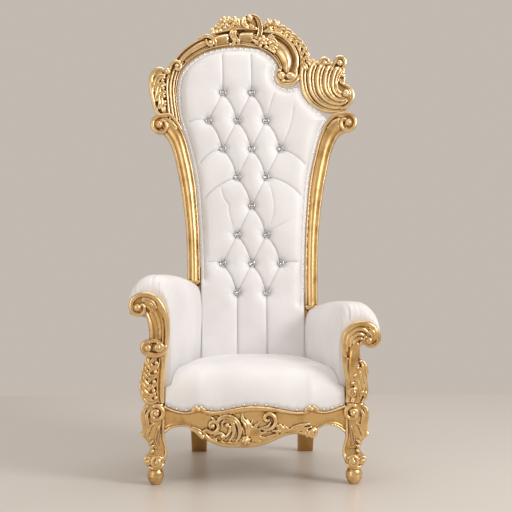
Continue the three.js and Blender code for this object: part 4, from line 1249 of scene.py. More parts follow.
CUSHION_RIGHT = (
    (205, STILE_BOTTOM), (209, 740), (214, 900), (221, 1010), (231, 1125), (251, 1230), (285, 1350),
    (306, 1394), (280, 1420), (240, 1456), (205, 1508), (192, 1526), (140, 1522), (98, 1548), (92, 1590),
    (98, 1622), (74, 1660), (24, 1692),
)
CUSHION_LEFT = (
    (-50, 1700), (-128, 1694), (-198, 1674), (-252, 1638), (-290, 1593), (-307, 1538), (-308, 1480),
    (-300, 1400), (-285, 1350), (-251, 1230), (-231, 1125), (-221, 1010), (-214, 900), (-209, 740),
    (-205, STILE_BOTTOM),
)


def distances(spots: Array, line: Array) -> Array:
    """How far each spot (x, z) lies from a line of points (x, z)."""
    nearest = np.full(len(spots), np.inf)
    for start, stop in zip(line, line[1:]):
        way = stop - start
        size = float(way @ way) + 1e-12
        share = np.clip((spots - start) @ way / size, 0, 1)
        nearest = np.minimum(nearest, np.hypot(*(spots - start - share[:, None] * way).T))
    return nearest


def inside(spots: Array, outline: Array) -> Array:
    """Whether each spot (x, z) lies inside a closed outline."""
    found = np.zeros(len(spots), bool)
    for (xa, za), (xb, zb) in zip(outline, np.roll(outline, -1, axis=0)):
        crosses = (za > spots[:, 1]) != (zb > spots[:, 1])
        level = xa + (spots[:, 1] - za) * (xb - xa) / (zb - za + 1e-12)
        found ^= crosses & (spots[:, 0] < level)
    return found


def padded_face(
    name: str, outline: Array, pitch: float, rear: float, height: Callable[[Array, Array], Array],
    forward: int = -1,
) -> Object:
    """A closed pad whose face is shaped by a height at each spot.

    Args:
        name: the pad's name.
        outline: its closed outline, rows of x and z.
        pitch: the spacing of its points.
        rear: the depth of its flat rear.
        height: gives the face's height from spots (x, z) and their distances from the edge.
        forward: -1 where the face looks to the front, 1 where it looks to the rear.

    Returns:
        The pad, in millimetres.
    """
    low, high = outline.min(0), outline.max(0)
    columns, rows = (int(math.ceil(side / pitch)) for side in high - low)
    bm = bmesh.new()
    bmesh.ops.create_grid(bm, x_segments=columns, y_segments=rows, size=1)
    middle, half = (low + high) / 2, (high - low) / 2
    turn = Matrix(((half[0], 0, 0, middle[0]), (0, 0, 1, 0), (0, half[1], 0, middle[1]), (0, 0, 0, 1)))
    bmesh.ops.transform(bm, matrix=turn, verts=bm.verts)
    spots = np.array([(v.co.x, v.co.z) for v in bm.verts])
    ring = np.vstack([outline, outline[:1]])
    away = distances(spots, ring)
    held = inside(spots, outline) & (away > pitch * 0.35)
    bmesh.ops.delete(bm, geom=[v for v, kept in zip(bm.verts[:], held) if not kept], context="VERTS")
    loose = [v for v in bm.verts if len(v.link_faces) == 0]
    bmesh.ops.delete(bm, geom=loose, context="VERTS")
    rim = [v for v in bm.verts if v.is_boundary]
    dense = np.vstack([
        start + (stop - start) * share
        for start, stop in zip(ring, ring[1:]) for share in np.linspace(0, 1, 6, endpoint=False)
    ])
    for vert in rim:
        gaps = np.hypot(dense[:, 0] - vert.co.x, dense[:, 1] - vert.co.z)
        vert.co.x, vert.co.z = dense[int(gaps.argmin())]
    spots = np.array([(v.co.x, v.co.z) for v in bm.verts])
    heights = height(spots, distances(spots, ring))
    for vert, rise in zip(bm.verts, heights):
        vert.co.y = forward * rise
    for vert in verts_in(bmesh.ops.extrude_edge_only(bm, edges=open_edges(bm))["geom"]):
        vert.co.y = rear
    close_up(bm)
    return as_object(name, bm)


def cushion_outline(grow: float = 0.0) -> Array:
    """The back's outline as rows of x and z, a little larger where it is tucked under the frame."""
    right, left = Line(CUSHION_RIGHT).even(6), Line(CUSHION_LEFT).even(6)
    outline = np.vstack([right, left])[:, [0, 2]]
    ways = np.roll(outline, -1, axis=0) - np.roll(outline, 1, axis=0)
    ways /= np.hypot(*ways.T)[:, None]
    return outline + np.stack([ways[:, 1], -ways[:, 0]], axis=1) * grow


def button_places() -> list[tuple[float, float]]:
    """Centres of the buttons: rows one pitch apart, every other row moved half a pitch."""
    rows = ((-1, 0), (-1.5, 0.5), (-1, 1), (-0.5, 0.5), (0, 0), (-0.5, 0.5), (-1, 1), (-0.5, 0.5))
    places = []
    for row, (first, last) in enumerate(rows):
        for i in range(int(last - first) + 1):
            places.append((TUFT_CENTRE + (first + i) * TUFT_PITCH_X, TUFT_TOP - row * TUFT_PITCH_Z))
    return places


def half_ball(radius: float, flat: float, rings: int, sides: int, spot: Matrix) -> BMesh:
    """A low dome whose top looks along -Y."""
    bm = bmesh.new()
    bmesh.ops.create_uvsphere(bm, u_segments=sides, v_segments=rings * 2, radius=radius)
    whole = bm.verts[:] + bm.edges[:] + bm.faces[:]
    bmesh.ops.bisect_plane(bm, geom=whole, plane_co=(0, 0, 0), plane_no=(0, 0, 1), clear_inner=True)
    bmesh.ops.holes_fill(bm, edges=bm.edges, sides=0)
    turn = spot @ Matrix.Rotation(math.pi / 2, 4, "X") @ Matrix.Diagonal((1, 1, flat, 1))
    bmesh.ops.transform(bm, matrix=turn, verts=bm.verts)
    return bm


def nail_row(name: str, spots: Array, ways: Array, place: Matrix, radius: float, long: float) -> None:
    """Nail heads at spots: low nickel domes.

    Args:
        name: the row's name.
        spots: where each stands.
        ways: the direction of the row at each.
        place: takes the drawing to the frame.
        radius: half a head's width.
        long: its length along the row against its width.
    """
    whole = bmesh.new()
    for spot, way in zip(spots, ways):
        turn = Matrix.Rotation(-math.atan2(way[2], way[0]), 4, "Y") @ Matrix.Diagonal((long, 1, 1, 1))
        head = half_ball(radius, 0.62, 2, 8, Matrix.Translation(Vector(spot)) @ turn)
        merge(whole, as_mesh("head", head))
    finished(as_object(name, whole), place, SILVER)


def nail_places(inset: float, pitch: float) -> tuple[Array, Array]:
    """Evenly spaced places inside the back's outline, and the outline's direction at each.

    Args:
        inset: how far inside the outline they stand.
        pitch: about how far apart they stand.

    Returns:
        The places and the directions, as rows of x, y and z.
    """
    path = Line([(x, z) for x, z in cushion_outline(-inset)[::3]])
    count = int(path.length / pitch)
    shares = (np.arange(count) + 0.5) / count
    return path.at(shares), path.way(shares)


@dataclass
class TuftedBack:
    """The deep-buttoned back: pillows between buttons, creases, side pleats, a rolled nailed edge."""

    pitch: float = 3.0
    full: float = 29.0
    flange: float = 6.0
    crease_bow: float = 7.0
    nail_inset: float = 3.2
    nail_pitch: float = 24.5
    lowest_nails: tuple[float, float] = (738, 640)
    pleats: tuple[tuple[Points, float], ...] = (
        (((-181, 1387), (-225, 1388), (-255, 1381), (-290, 1366), (-345, 1336)), 0.5),
        (((-122, 1267), (-165, 1252), (-203, 1222), (-246, 1168), (-285, 1102)), 0.65),
        (((-62, 1148), (-105, 1130), (-160, 1095), (-222, 1032), (-270, 966)), 0.65),
        (((-122, 790), (-150, 797), (-180, 796), (-212, 793), (-270, 788)), 0.6),
        (((116, 1267), (150, 1252), (190, 1226), (240, 1172), (284, 1106)), 0.5),
        (((57, 1148), (105, 1136), (160, 1106), (222, 1044), (268, 980)), 0.5),
        (((116, 790), (145, 796), (175, 796), (210, 793), (270, 788)), 0.6),
        (((57, 1387), (72, 1440), (90, 1500), (98, 1540)), 0.3),
        (((116, 1267), (148, 1335), (166, 1400), (172, 1478)), 0.25),
        (((57, 1148), (72, 1110), (86, 1050), (88, 1000), (74, 950), (57, 909)), 0.22),
        (((57, 909), (90, 935), (128, 955), (165, 972)), 0.2),
        (((-131, 1108), (-114, 1052), (-97, 1030), (-96, 1005), (-84, 955), (-62, 909)), 0.34),
        (((-62, 909), (-80, 930), (-96, 960), (-104, 975)), 0.22),
    )

    def creases(self) -> list[tuple[Array, float, bool]]:
        """The lines that the cover is drawn in along, how strongly, and whether they fade out."""
        places = button_places()
        found = []
        for xa, za in places:
            for xb, zb in places:
                if abs(za - zb - TUFT_PITCH_Z) > 1 or abs(abs(xa - xb) - TUFT_PITCH_X / 2) > 1:
                    continue
                falls_right = xb > xa
                bow = self.crease_bow if falls_right else 2.0
                middle = ((xa + xb) / 2 + bow * 0.9, (za + zb) / 2 + bow * 0.45)
                line = Line([(xa, za), middle, (xb, zb)]).even(9)[:, [0, 2]]
                found.append((line, 0.85 if falls_right else 0.48, False))
        for x, z in places[:2]:
            found.append((Line([(x, z), (x - 1, z + 90), (x - 4, z + 200)]).even(20)[:, [0, 2]], 0.6, True))
        for x, z in places[-2:]:
            found.append((Line([(x, z), (x, z - 120), (x + 2, z - 300)]).even(20)[:, [0, 2]], 0.85, False))
        found.extend((Line(points).even(12)[:, [0, 2]], strength, True) for points, strength in self.pleats)
        return found

    def smooth(self, spots: Array, edge: Array, hidden: Array) -> Array:
        """The cover without its creases.

        Args:
            spots: the places, rows of x and z.
            edge: their distances from the outline.
            hidden: 1 where the cover lies behind the arms and has no edge, 0 where it is seen.

        Returns:
            Its height: a nailed flange, a rolled edge, and a swelling up to the full height.
        """
        low = self.flange + 4
        rise = low + (self.full - low) * dome((edge - 14) / 54)
        straight = 1 - ease(spots[:, 1], 1330, 1420)
        roll = (0.35 + 0.65 * straight) * np.clip(1 - ((edge - 8) / 6) ** 2, 0, 1) ** 0.5
        rise = np.maximum(rise * ease(edge, 8, 16), self.flange + 5.5 * roll)
        return rise + (self.full - rise) * hidden

    @staticmethod
    def valley(away: Array) -> Array:
        """A crease's depth at these distances from its line: a sharp fold in two softer ones."""
        return 5.2 * np.exp(-((away / 3.6) ** 2)) + 4.2 * np.exp(-away / 10) + 3.2 * np.exp(-away / 28)

    @staticmethod
    def dish(away: Array) -> Array:
        """How deep a button sits at these distances from its middle: a steep pit in a wide one."""
        core = np.maximum(away - 12.5, 0)
        return 10.5 * np.exp(-((core / 11) ** 2)) + 7.5 * np.exp(-((core / 30) ** 2))

    @staticmethod
    def pucker(away: Array, turn: Array, number: int) -> Array:
        """The fine gathers round a button, turned a little further from one button to the next."""
        return 0.5 * np.sin(9 * turn + 1.7 * number) * np.exp(-(((away - 29) / 12) ** 2))

    def heights(self, spots: Array, edge: Array) -> Array:
        """How far the cover stands forward at each spot."""
        foot = np.where(spots[:, 0] < 0, LEFT_POST_FOOT, RIGHT_POST_FOOT)
        hidden = 1 - ease(spots[:, 1], foot - 20, foot + 20)
        cut = np.zeros(len(spots))
        nearest = np.full(len(spots), TUFT_PITCH_X / 2 + 0.5)
        for line, strength, fades in self.creases():
            away = distances(spots, line)
            end = np.hypot(spots[:, 0] - line[-1, 0], spots[:, 1] - line[-1, 1])
            strength = strength * (0.15 + 0.85 * ease(end, 0, 60)) if fades else strength
            cut = np.maximum(cut, strength * self.valley(away))
            nearest = np.minimum(nearest, away + 26 * (1 - strength))
        pull = np.zeros(len(spots))
        for number, (x, z) in enumerate(button_places()):
            dx, dz = spots[:, 0] - x, spots[:, 1] - z
            away = np.hypot(dx, dz)
            pull = np.maximum(pull, self.dish(away)) + self.pucker(away, np.arctan2(dz, dx), number)
        free = np.maximum(ease(edge, 14, 40), hidden)
        crown = 4.6 * (1 - np.exp(-nearest / 22)) * free
        sway = 0.9 * np.sin(spots[:, 0] / 61 + spots[:, 1] / 83) * free
        cut = cut * (0.35 + 0.65 * ease(edge, 20, 34))
        total = self.smooth(spots, edge, hidden) + crown + sway - cut * ease(edge, 7, 15) - pull * free
        return np.maximum(total, 4.0)

    def build(self) -> None:
        """Makes the tufted cover and its row of nails."""
        pad = padded_face("tufted_cover", cushion_outline(), self.pitch, CUSHION_REAR, self.heights)
        finished(pad, back_place(), LEATHER, ["back_cushion"])
        spots, ways = nail_places(self.nail_inset, self.nail_pitch)
        above = spots[:, 2] > np.where(spots[:, 0] < 0, *self.lowest_nails)
        spots[:, 1] = -self.flange - 1.6
        nail_row("back_nails", spots[above], ways[above], back_place(), 3.7, 1.5)


@dataclass
class BackBoard:
    """The upholstered board that closes the back, with its own rolled edge and nails."""

    pitch: float = 7.0
    full: float = 12.0
    nail_inset: float = 6
    nail_pitch: float = 26

    def heights(self, _spots: Array, edge: Array) -> Array:
        """How far the cover stands to the rear at each spot."""
        swell = dome((edge - 14) / 60)
        return PANEL_REAR - 4 + 2.5 * ease(edge, 4, 12) + self.full * swell * ease(edge, 10, 18)

    def build(self) -> None:
        """Makes the board and its nails."""
        outline = cushion_outline()
        board = padded_face("back_board", outline, self.pitch, CUSHION_REAR + CLEARANCE, self.heights, 1)
        finished(board, back_place(), LEATHER, ["back_panel"])
        spots, ways = nail_places(self.nail_inset, self.nail_pitch)
        spots[:, 0] *= -1
        spots[:, 1] = 2 - PANEL_REAR
        turned_round = back_place() @ Matrix.Rotation(math.pi, 4, "Z")
        nail_row("board_nails", spots, ways * (-1, 1, 1), turned_round, 3.6, 1.4)


@dataclass
class Buttons:
    """Cut crystals in nickel rims, one at each tuft."""

    depth: float = -9.5
    girdle_radius: float = 8.7
    table_radius: float = 4.6
    crown: float = 2.8
    cup: Points = (
        (0, -4.0), (10.6, -4.0), (12.2, -2.2), (12.6, 6.0), (11.9, 7.9), (10.3, 8.6), (9.0, 7.9),
        (8.6, 5.6), (6.0, 4.2), (0, 3.8),
    )

    def rim(self, name: str, x: float, z: float) -> None:
        """A rim with the silvered cup behind the crystal."""
        bm = turned([(r, -h, 0) for r, h in self.cup], (0, 1, 0), 28)
        outward(bm)
        bmesh.ops.translate(bm, vec=(x, self.depth, z), verts=bm.verts)
        finished(as_object(name, bm), back_place(), SILVER)

    def crystal(self, name: str, node: str, x: float, z: float) -> None:
        """A stone cut with a flat table and eight sloping sides."""
        bm = bmesh.new()
        bmesh.ops.create_cone(
            bm, cap_ends=True, cap_tris=False, segments=8, depth=self.crown,
            radius1=self.girdle_radius, radius2=self.table_radius,
        )
        bmesh.ops.translate(bm, vec=(0, 0, self.crown / 2), verts=bm.verts)
        base = [f for f in bm.faces if f.calc_center_median().z < 1e-4]
        low = verts_in(bmesh.ops.extrude_face_region(bm, geom=base)["geom"])
        bmesh.ops.delete(bm, geom=base, context="FACES_ONLY")
        bmesh.ops.scale(bm, vec=(0.3, 0.3, 1), verts=low)
        bmesh.ops.translate(bm, vec=(0, 0, -2.6), verts=low)
        girdle = [e for e in bm.edges if all(abs(v.co.z) < 1e-4 for v in e.verts)]
        bevelled(bm, girdle, 0.5, 1)
        outward(bm)
        turn = Matrix.Translation((x, self.depth - 7.0, z)) @ Matrix.Rotation(math.pi / 2, 4, "X")
        bmesh.ops.transform(bm, matrix=turn, verts=bm.verts)
        item = finished(as_object(name, bm), back_place(), CRYSTAL, [node])
        item.data.polygons.foreach_set("use_smooth", [False] * len(item.data.polygons))

    def build(self) -> None:
        """Makes every button."""
        for i, (x, z) in enumerate(button_places(), 1):
            self.rim(f"button_rim_{i:02d}", x, z)
            self.crystal(f"button_crystal_{i:02d}", f"button_{i:02d}", x, z)


# ---- the body: rails and legs ----

APRON_BOTTOM = (
    (-328, 186), (-306, 205), (-259, 214), (-228, 206), (-206, 190), (-182, 170), (-150, 153), (-112, 142),
    (-65, 140), (-8, 141), (26, 148), (58, 159), (92, 175), (126, 185), (152, 188), (180, 182), (204, 186),
    (222, 199), (256, 217), (294, 212), (328, 184),
)
APRON_TOP = (
    (-328, 291), (-306, 279), (-259, 267), (-230, 271), (-204, 281), (-178, 274), (-150, 270), (-112, 274),
    (-72, 282), (-22, 289), (26, 288), (62, 284), (98, 277), (126, 271), (156, 268), (184, 271), (204, 282),
    (222, 273), (256, 268), (294, 278), (328, 291),
)


def bow(x: Array) -> Array:
    """The depth of the front rail's bowed ground at each x."""
    return FRONT_Y - APRON_BOW * np.maximum(0, 1 - (np.asarray(x, float) / APRON_HALF) ** 2)


def rail_top(x: Array) -> Array:
    """The height of the front rail's upper edge at each x."""
    spots = Line(APRON_TOP).even(4)
    return np.interp(x, spots[:, 0], spots[:, 2])


def inner_face(y: Array) -> Array:
    """The x of the arms' inner faces: they close in towards the back."""
    share = (np.asarray(y, float) - ARM_INNER_FRONT_Y) / ARM_INNER_LENGTH
    return ARM_INNER_FRONT_X + share * (ARM_INNER_REAR_X - ARM_INNER_FRONT_X)


def back_face(z: Array) -> Array:
    """The y of the tufted back's front at each height."""
    lean = np.tan(BACK_LEAN) * (np.asarray(z, float) - BACK_PIVOT_Z)
    return BACK_PIVOT_Y + lean + (CUSHION_FRONT - CLEARANCE) / math.cos(BACK_LEAN)


def rear_leg_y(z: float) -> float:
    """The y of a rear leg's middle: it sweeps back towards the floor."""
    share = max(0.0, 1 - z / REAR_RAIL_TOP) ** 1.5
    return REAR_TOP_Y + (REAR_FOOT_Y - REAR_TOP_Y) * share


def rear_leg_half(z: float) -> float:
    """Half a rear leg's width."""
    return REAR_FOOT_HALF + (REAR_TOP_HALF - REAR_FOOT_HALF) * z / REAR_RAIL_TOP


@dataclass
class FrontRail:
    """The scrolled apron: an arched moulding and an acanthus relief that differs left and right."""

    voxel: float = 1.7
    most: int = 130000

    def ground(self, carving: Carving) -> None:
        """The rail with its mouldings along both edges."""
        profile = (
            (0, 2), (0.03, 7), (0.08, 9.5), (0.13, 7), (0.155, 2.5), (0.18, 3), (0.2, 4.5), (0.225, 2),
            (0.3, 1.5), (0.8, 1.5), (0.86, 2), (0.885, 5.5), (0.93, 9), (0.97, 7), (1, 2),
        )
        carving.moulding(APRON_BOTTOM, APRON_TOP, profile, APRON_REAR, steps=120)

    def left_scrolls(self, carving: Carving) -> None:
        """The C-scroll and the plume on the left."""
        carving.bar([
            *volute(-153, 218, 9, 25, 250, -1.05), (-183, 204), (-180, 186), (-160, 168), (-128, 154),
            (-92, 148), (-58, 147),
        ], [4, 6, 7, 7.5, 8, 8, 8, 7, 6, 4], ROUND, 1.1, -5)
        carving.bead(-153, 218, 8, -9)
        carving.bar([
            (-128, 208), (-136, 228), (-128, 244), (-108, 252), (-84, 248), (-64, 232), (-55, 208),
            (-57, 182), (-70, 160),
        ], [3, 6, 8, 9, 9.5, 9, 8, 6, 3], LEAF, 1, -6)
        carving.bar([
            (-118, 214), (-118, 230), (-102, 238), (-84, 230), (-76, 208), (-80, 184), (-94, 164),
        ], [3, 5, 6.5, 7, 7, 5.5, 3], LEAF, 1, -7)
        carving.bar([
            (-104, 214), (-96, 220), (-90, 210), (-96, 190), (-110, 176),
        ], [4, 5.5, 6, 5, 3], depth=-7)
        carving.bead(-101, 222, 8.5, -9)
        carving.bar([
            (-150, 182), (-136, 192), (-120, 190), (-112, 178), (-120, 168),
        ], [3, 6, 6.5, 6, 4], depth=-6)
        carving.bead(-119, 181, 7, -9)
        for x, z, dx, dz in (
            (-150, 176, 16, -14), (-126, 166, 16, -10), (-100, 160, 18, -6), (-140, 200, 12, 10),
            (-146, 240, -14, 8), (-122, 256, -10, 8), (-92, 262, 6, 8),
        ):
            carving.bar([(x, z), (x + dx * 0.6, z + dz * 0.8), (x + dx, z + dz)], [3, 5.5, 2], LEAF, 1, -5)

    def middle_leaves(self, carving: Carving) -> None:
        """The wing leaf and the flower from which the leaves fan out."""
        carving.bar([
            (-46, 262), (-46, 244), (-34, 228), (-26, 206), (-30, 184),
        ], [2, 8, 11, 10, 5], LEAF, 1, -6)
        carving.bar([(-30, 244), (-24, 226), (-16, 212), (-18, 190)], [2, 7, 8, 4], LEAF, 1, -6)
        carving.bar([(-58, 236), (-52, 218), (-42, 200), (-40, 182)], [2, 6, 7, 4], KEEL, 1, -6)
        carving.flower(-33, 168, 17, -9, 6)
        carving.bead(-33, 168, 7, -17)
        for angle, size, wide in (
            (78, 62, 8), (58, 66, 9), (40, 60, 8.5), (22, 62, 8), (4, 58, 7), (-14, 44, 6),
        ):
            dx, dz = math.cos(math.radians(angle)), math.sin(math.radians(angle))
            start = (-24 + 10 * dx, 170 + 10 * dz)
            middle = (start[0] + dx * size * 0.5 - dz * 4, start[1] + dz * size * 0.5 + dx * 4)
            stop = (start[0] + dx * size, start[1] + dz * size)
            carving.bar([start, middle, stop], [3.5, wide, 2], LEAF, 1, -6)
        carving.beads(-8, ((2, 196, 4), (10, 184, 4), (-2, 212, 4), (14, 200, 4)))

    def right_scrolls(self, carving: Carving) -> None:
        """The hooked scroll, the sprays and the long leaves on the right."""
        carving.bar([
            (24, 206), (48, 206), (66, 216), (74, 234), (68, 252), (52, 262), (36, 256), (34, 242),
            (44, 236), (52, 243),
        ], [3, 5, 7, 7.5, 8, 8, 7.5, 7, 6, 5], depth=-6)
        carving.bar([(28, 214), (46, 218), (56, 232)], [2.5, 4.5, 2.5], LEAF, 1, -6)
        carving.bars((
            ([(72, 226), (84, 212), (100, 190)], [3, 7, 2.5]),
            ([(86, 226), (96, 212), (110, 194)], [3, 7.5, 3]),
            ([(102, 220), (112, 210), (124, 198)], [3, 6.5, 3]),
            ([(90, 186), (108, 200), (132, 206)], [2.5, 6.5, 2]),
            ([(118, 196), (142, 212), (176, 221), (198, 224)], [3, 8, 7, 2]),
            ([(124, 190), (150, 202), (186, 208), (204, 214)], [3, 7, 6, 2]),
            ([(16, 168), (48, 178), (84, 190)], [3, 7, 3]),
            ([(10, 156), (44, 164), (80, 180)], [3, 6, 3]),
            ([(60, 200), (76, 200), (90, 194)], [2.5, 5.5, 2.5]),
        ), LEAF, 1, -5)
        carving.bead(88, 200, 5, -7)

    def corners(self, carving: Carving) -> None:
        """The curls under the arches and the small clasps on the upper edge."""
        carving.bar([
            (-236, 208), (-214, 200), (-200, 188), (-190, 178), (-180, 176),
        ], [5, 7.5, 9, 9, 7], depth=-6)
        carving.bead(-190, 180, 9, -10)
        carving.bar([(-226, 214), (-206, 206), (-190, 194)], [2.5, 4.5, 2.5], LEAF, 1, -8)
        carving.spiral(206, 192, 16, 7, 100, -1.2, [6, 7.5, 7.5, 6], 8, depth=-5, rise=5)
        carving.bar([(192, 176), (184, 188), (188, 204)], [3.5, 6.5, 3], LEAF, 1, -7)
        carving.bar([(176, 184), (172, 196), (182, 208)], [3, 5.5, 3], LEAF, 1, -6)
        for x in (-204, 204):
            for side in (-1, 1):
                carving.bar([
                    (x + 2 * side, 272), (x + 10 * side, 281), (x + 19 * side, 277), (x + 25 * side, 268),
                ], [4, 6.5, 6, 3], LEAF, 1.1, -7)
                carving.bead(x + 8 * side, 286, 5.5, -8)
            carving.bead(x, 278, 7.5, -11)

    def build(self) -> None:
        """Makes the rail."""
        carving = Carving(bow)
        for part in (self.ground, self.left_scrolls, self.middle_leaves, self.right_scrolls, self.corners):
            part(carving)
        item = carving.fused("carved_front_rail", self.voxel, self.most)
        finished(item, body_place(), GOLD, ["front_rail"])


LEG_STATIONS = (
    (62, 337, 386, -354, -322), (72, 330, 399, -368, -314), (86, 325, 405, -374, -308),
    (101, 320, 401, -371, -306), (113, 319, 389, -360, -306), (128, 321, 381, -352, -306),
    (148, 326, 387, -356, -305), (166, 330, 400, -363, -303), (182, 329, 410, -368, -300),
    (212, 329, 407, -372, -298), (245, 329, 410, -378, -298), (276, 329, 408, -376, -298),
    (297, 329, 397, -366, -298),
)


@dataclass
class FrontLeg:
    """A carved front leg: volute at the knee, leaf on the shank, scrolled foot on a ball."""

    name: str
    left: bool = False
    voxel: float = 1.6
    most: int = 62000
    ball: Points = (
        (0, 0), (13, 0), (15.5, 0.6), (22, 7), (28, 18), (31, 32), (29, 46), (24, 55), (20, 60), (22, 66),
        (0, 66),
    )

    def shank(self, carving: Carving) -> None:
        """The shaped body of the leg."""
        stations = np.array(LEG_STATIONS, float)
        angles = np.arange(20) / 20 * 2 * math.pi
        squareness = 0.55
        section = np.stack([
            0.5 + 0.5 * np.sign(side) * np.abs(side) ** squareness
            for side in (np.cos(angles), np.sin(angles))
        ], axis=1)
        number = np.linspace(0, 1, len(stations))

        def place(u: Array, v: Array, along: Array) -> Array:
            """A corner of the shank."""
            z, inner, outer, front, rear = (np.interp(along, number, stations[:, k]) for k in range(5))
            return np.stack([inner + (outer - inner) * u, front + 7 + (rear - front - 7) * v, z], axis=1)

        carving.loft(section, 60, place)

    def relief(self, carving: Carving) -> None:
        """The carving on the front and the outer side."""
        carving.bar([
            (331, 288, -366), (331, 240, -366), (332, 196, -362), (331, 164, -356), (325, 138, -350),
            (323, 114, -352), (329, 92, -360),
        ], [4, 4.5, 5, 5, 4.5, 4.5, 4])
        carving.spiral(
            356 if self.left else 352, 262, 30, 9, 60, 1.25, [8, 8.5, 8.5, 8, 7, 6], 11, depth=-371, rise=7,
        )
        carving.bar([
            (388, 292, -366), (402, 272, -368), (405, 244, -368), (401, 214, -366), (404, 186, -362),
        ], [5, 8, 8, 7, 4], LEAF)
        carving.bar([
            (384, 274, -370), (391, 252, -372), (388, 228, -370), (390, 206, -366), (398, 186, -362),
        ], [4, 7, 7, 6, 3], LEAF)
        carving.bar([
            (366, 226, -368), (380, 214, -368), (386, 196, -366), (392, 178, -362),
        ], [3, 6, 6, 3], LEAF)
        carving.bar([(407, 196, -340), (409, 184, -346), (404, 172, -350)], [5, 7, 4])
        carving.bar([
            (346, 214, -366), (352, 190, -362), (356, 164, -356), (352, 140, -350),
        ], [3, 7, 7, 3], HOLLOW)
        for i in range(4):
            z = 172 - 17 * i
            carving.bar([
                (366, z + 6, -354), (378 - 2 * i, z + 2, -356), (384 - 3 * i, z - 12, -352),
            ], [3, 6, 2.5], LEAF)
        carving.bar([(392, 168, -346), (384, 150, -346), (374, 132, -346), (370, 112, -350)], [4, 5, 5, 4])

    def foot(self, carving: Carving) -> None:
        """The scrolled foot and the ball under it."""
        carving.spiral(355, 85, 22, 8, 160, -1.25, [7, 7.5, 7.5, 7, 6], 10, depth=-366, rise=6)
        carving.spiral(388, 88, 15, 6, 20, 1.1, [6, 6.5, 6, 5], 8, depth=-362, rise=4)
        carving.bar([(330, 78, -356), (344, 66, -362), (366, 62, -362), (388, 68, -356)], [5, 7, 7, 5])
        carving.bead(391, 86, 14, -342)
        carving.bead(371, 104, 5, -364)
        bm = turned([(r, 0, h) for r, h in self.ball], (0, 0, 1), 36)
        bmesh.ops.translate(bm, vec=(FOOT_X, FOOT_Y, 0), verts=bm.verts)
        merge(carving.bm, as_mesh("ball", bm))

    def build(self) -> None:
        """Makes the leg."""
        carving = Carving()
        for part in (self.shank, self.relief, self.foot):
            part(carving)
        item = carving.fused(f"carved_{self.name}", self.voxel, self.most, self.left)
        spots = spots_of(item.data)
        spots[:, 2] = np.maximum(spots[:, 2], 0)
        set_spots(item.data, spots)
        finished(item, body_place(), GOLD, [self.name])


@dataclass
class PlainFrame:
    """The plain gilded members: rear legs, side rails and rear rail, with softened edges, in a darker
    gilding that paints the shade they stand in.
    """

    soften: float = 3.0
    steps: int = 24
    gap: float = 3
    side_width: float = 44
    side_widening: float = 4

    def member(self, name: str, node: str, place: Place, left: bool = False) -> None:
        """A four-sided member whose corners are softened.

        Args:
            name: its name.
            node: the CAD node that it stands for.
            place: gives its corners from u and v (0 to 1) and the share along.
            left: whether it stands on the left.
        """
        carving = Carving()
        carving.loft(np.array([(0, 0), (1, 0), (1, 1), (0, 1)], float), self.steps, place)
        if left:
            mirrored(carving.bm)
        outward(carving.bm)
        sharp = [e for e in carving.bm.edges if e.calc_face_angle(0) > 0.9]
        bevelled(carving.bm, sharp, self.soften, 3)
        # The darker gilding here is painted shade.
        finished(as_object(name, carving.bm), body_place(), SHADED_GOLD, [node])

    def rear_leg(self, u: Array, v: Array, along: Array) -> Array:
        """A corner of the right rear leg."""
        z = along * REAR_RAIL_TOP
        half = np.array([rear_leg_half(h) for h in z])
        middle = np.array([rear_leg_y(h) for h in z])
        x = REAR_FOOT_X + (REAR_TOP_X - REAR_FOOT_X) * along + (2 * u - 1) * half
        return np.stack([x, middle + (2 * v - 1) * half * REAR_LEG_FLAT, z], axis=1)

    def side_rail(self, u: Array, v: Array, along: Array) -> Array:
        """A corner of the right side rail."""
        z = RAIL_BOTTOM + (LEG_TOP - RAIL_BOTTOM) * v
        rear = np.array([rear_leg_y(h) - rear_leg_half(h) * REAR_LEG_FLAT - self.gap for h in z])
        y = LEG_REAR + (rear - LEG_REAR) * along
        width = self.side_width + self.side_widening * along
        return np.stack([inner_face(y) + CLEARANCE + u * width, y, z], axis=1)

    def rear_rail(self, u: Array, v: Array, along: Array) -> Array:
        """A corner of the rear rail."""
        z = RAIL_BOTTOM + (REAR_RAIL_TOP - RAIL_BOTTOM) * along
        width = REAR_TOP_X - np.array([rear_leg_half(h) for h in z]) - (4 + CLEARANCE)
        y = REAR_RAIL_FRONT + (REAR_RAIL_REAR - REAR_RAIL_FRONT) * v
        return np.stack([(2 * u - 1) * width, y, z], axis=1)

    def build(self) -> None:
        """Makes the five members."""
        for left, side in ((True, "left"), (False, "right")):
            self.member(f"swept_rear_leg_{side}", f"rear_leg_{side}", self.rear_leg, left)
            self.member(f"side_member_{side}", f"side_rail_{side}", self.side_rail, left)
        self.member("rear_member", "rear_rail", self.rear_rail)


# ---- the arms ----


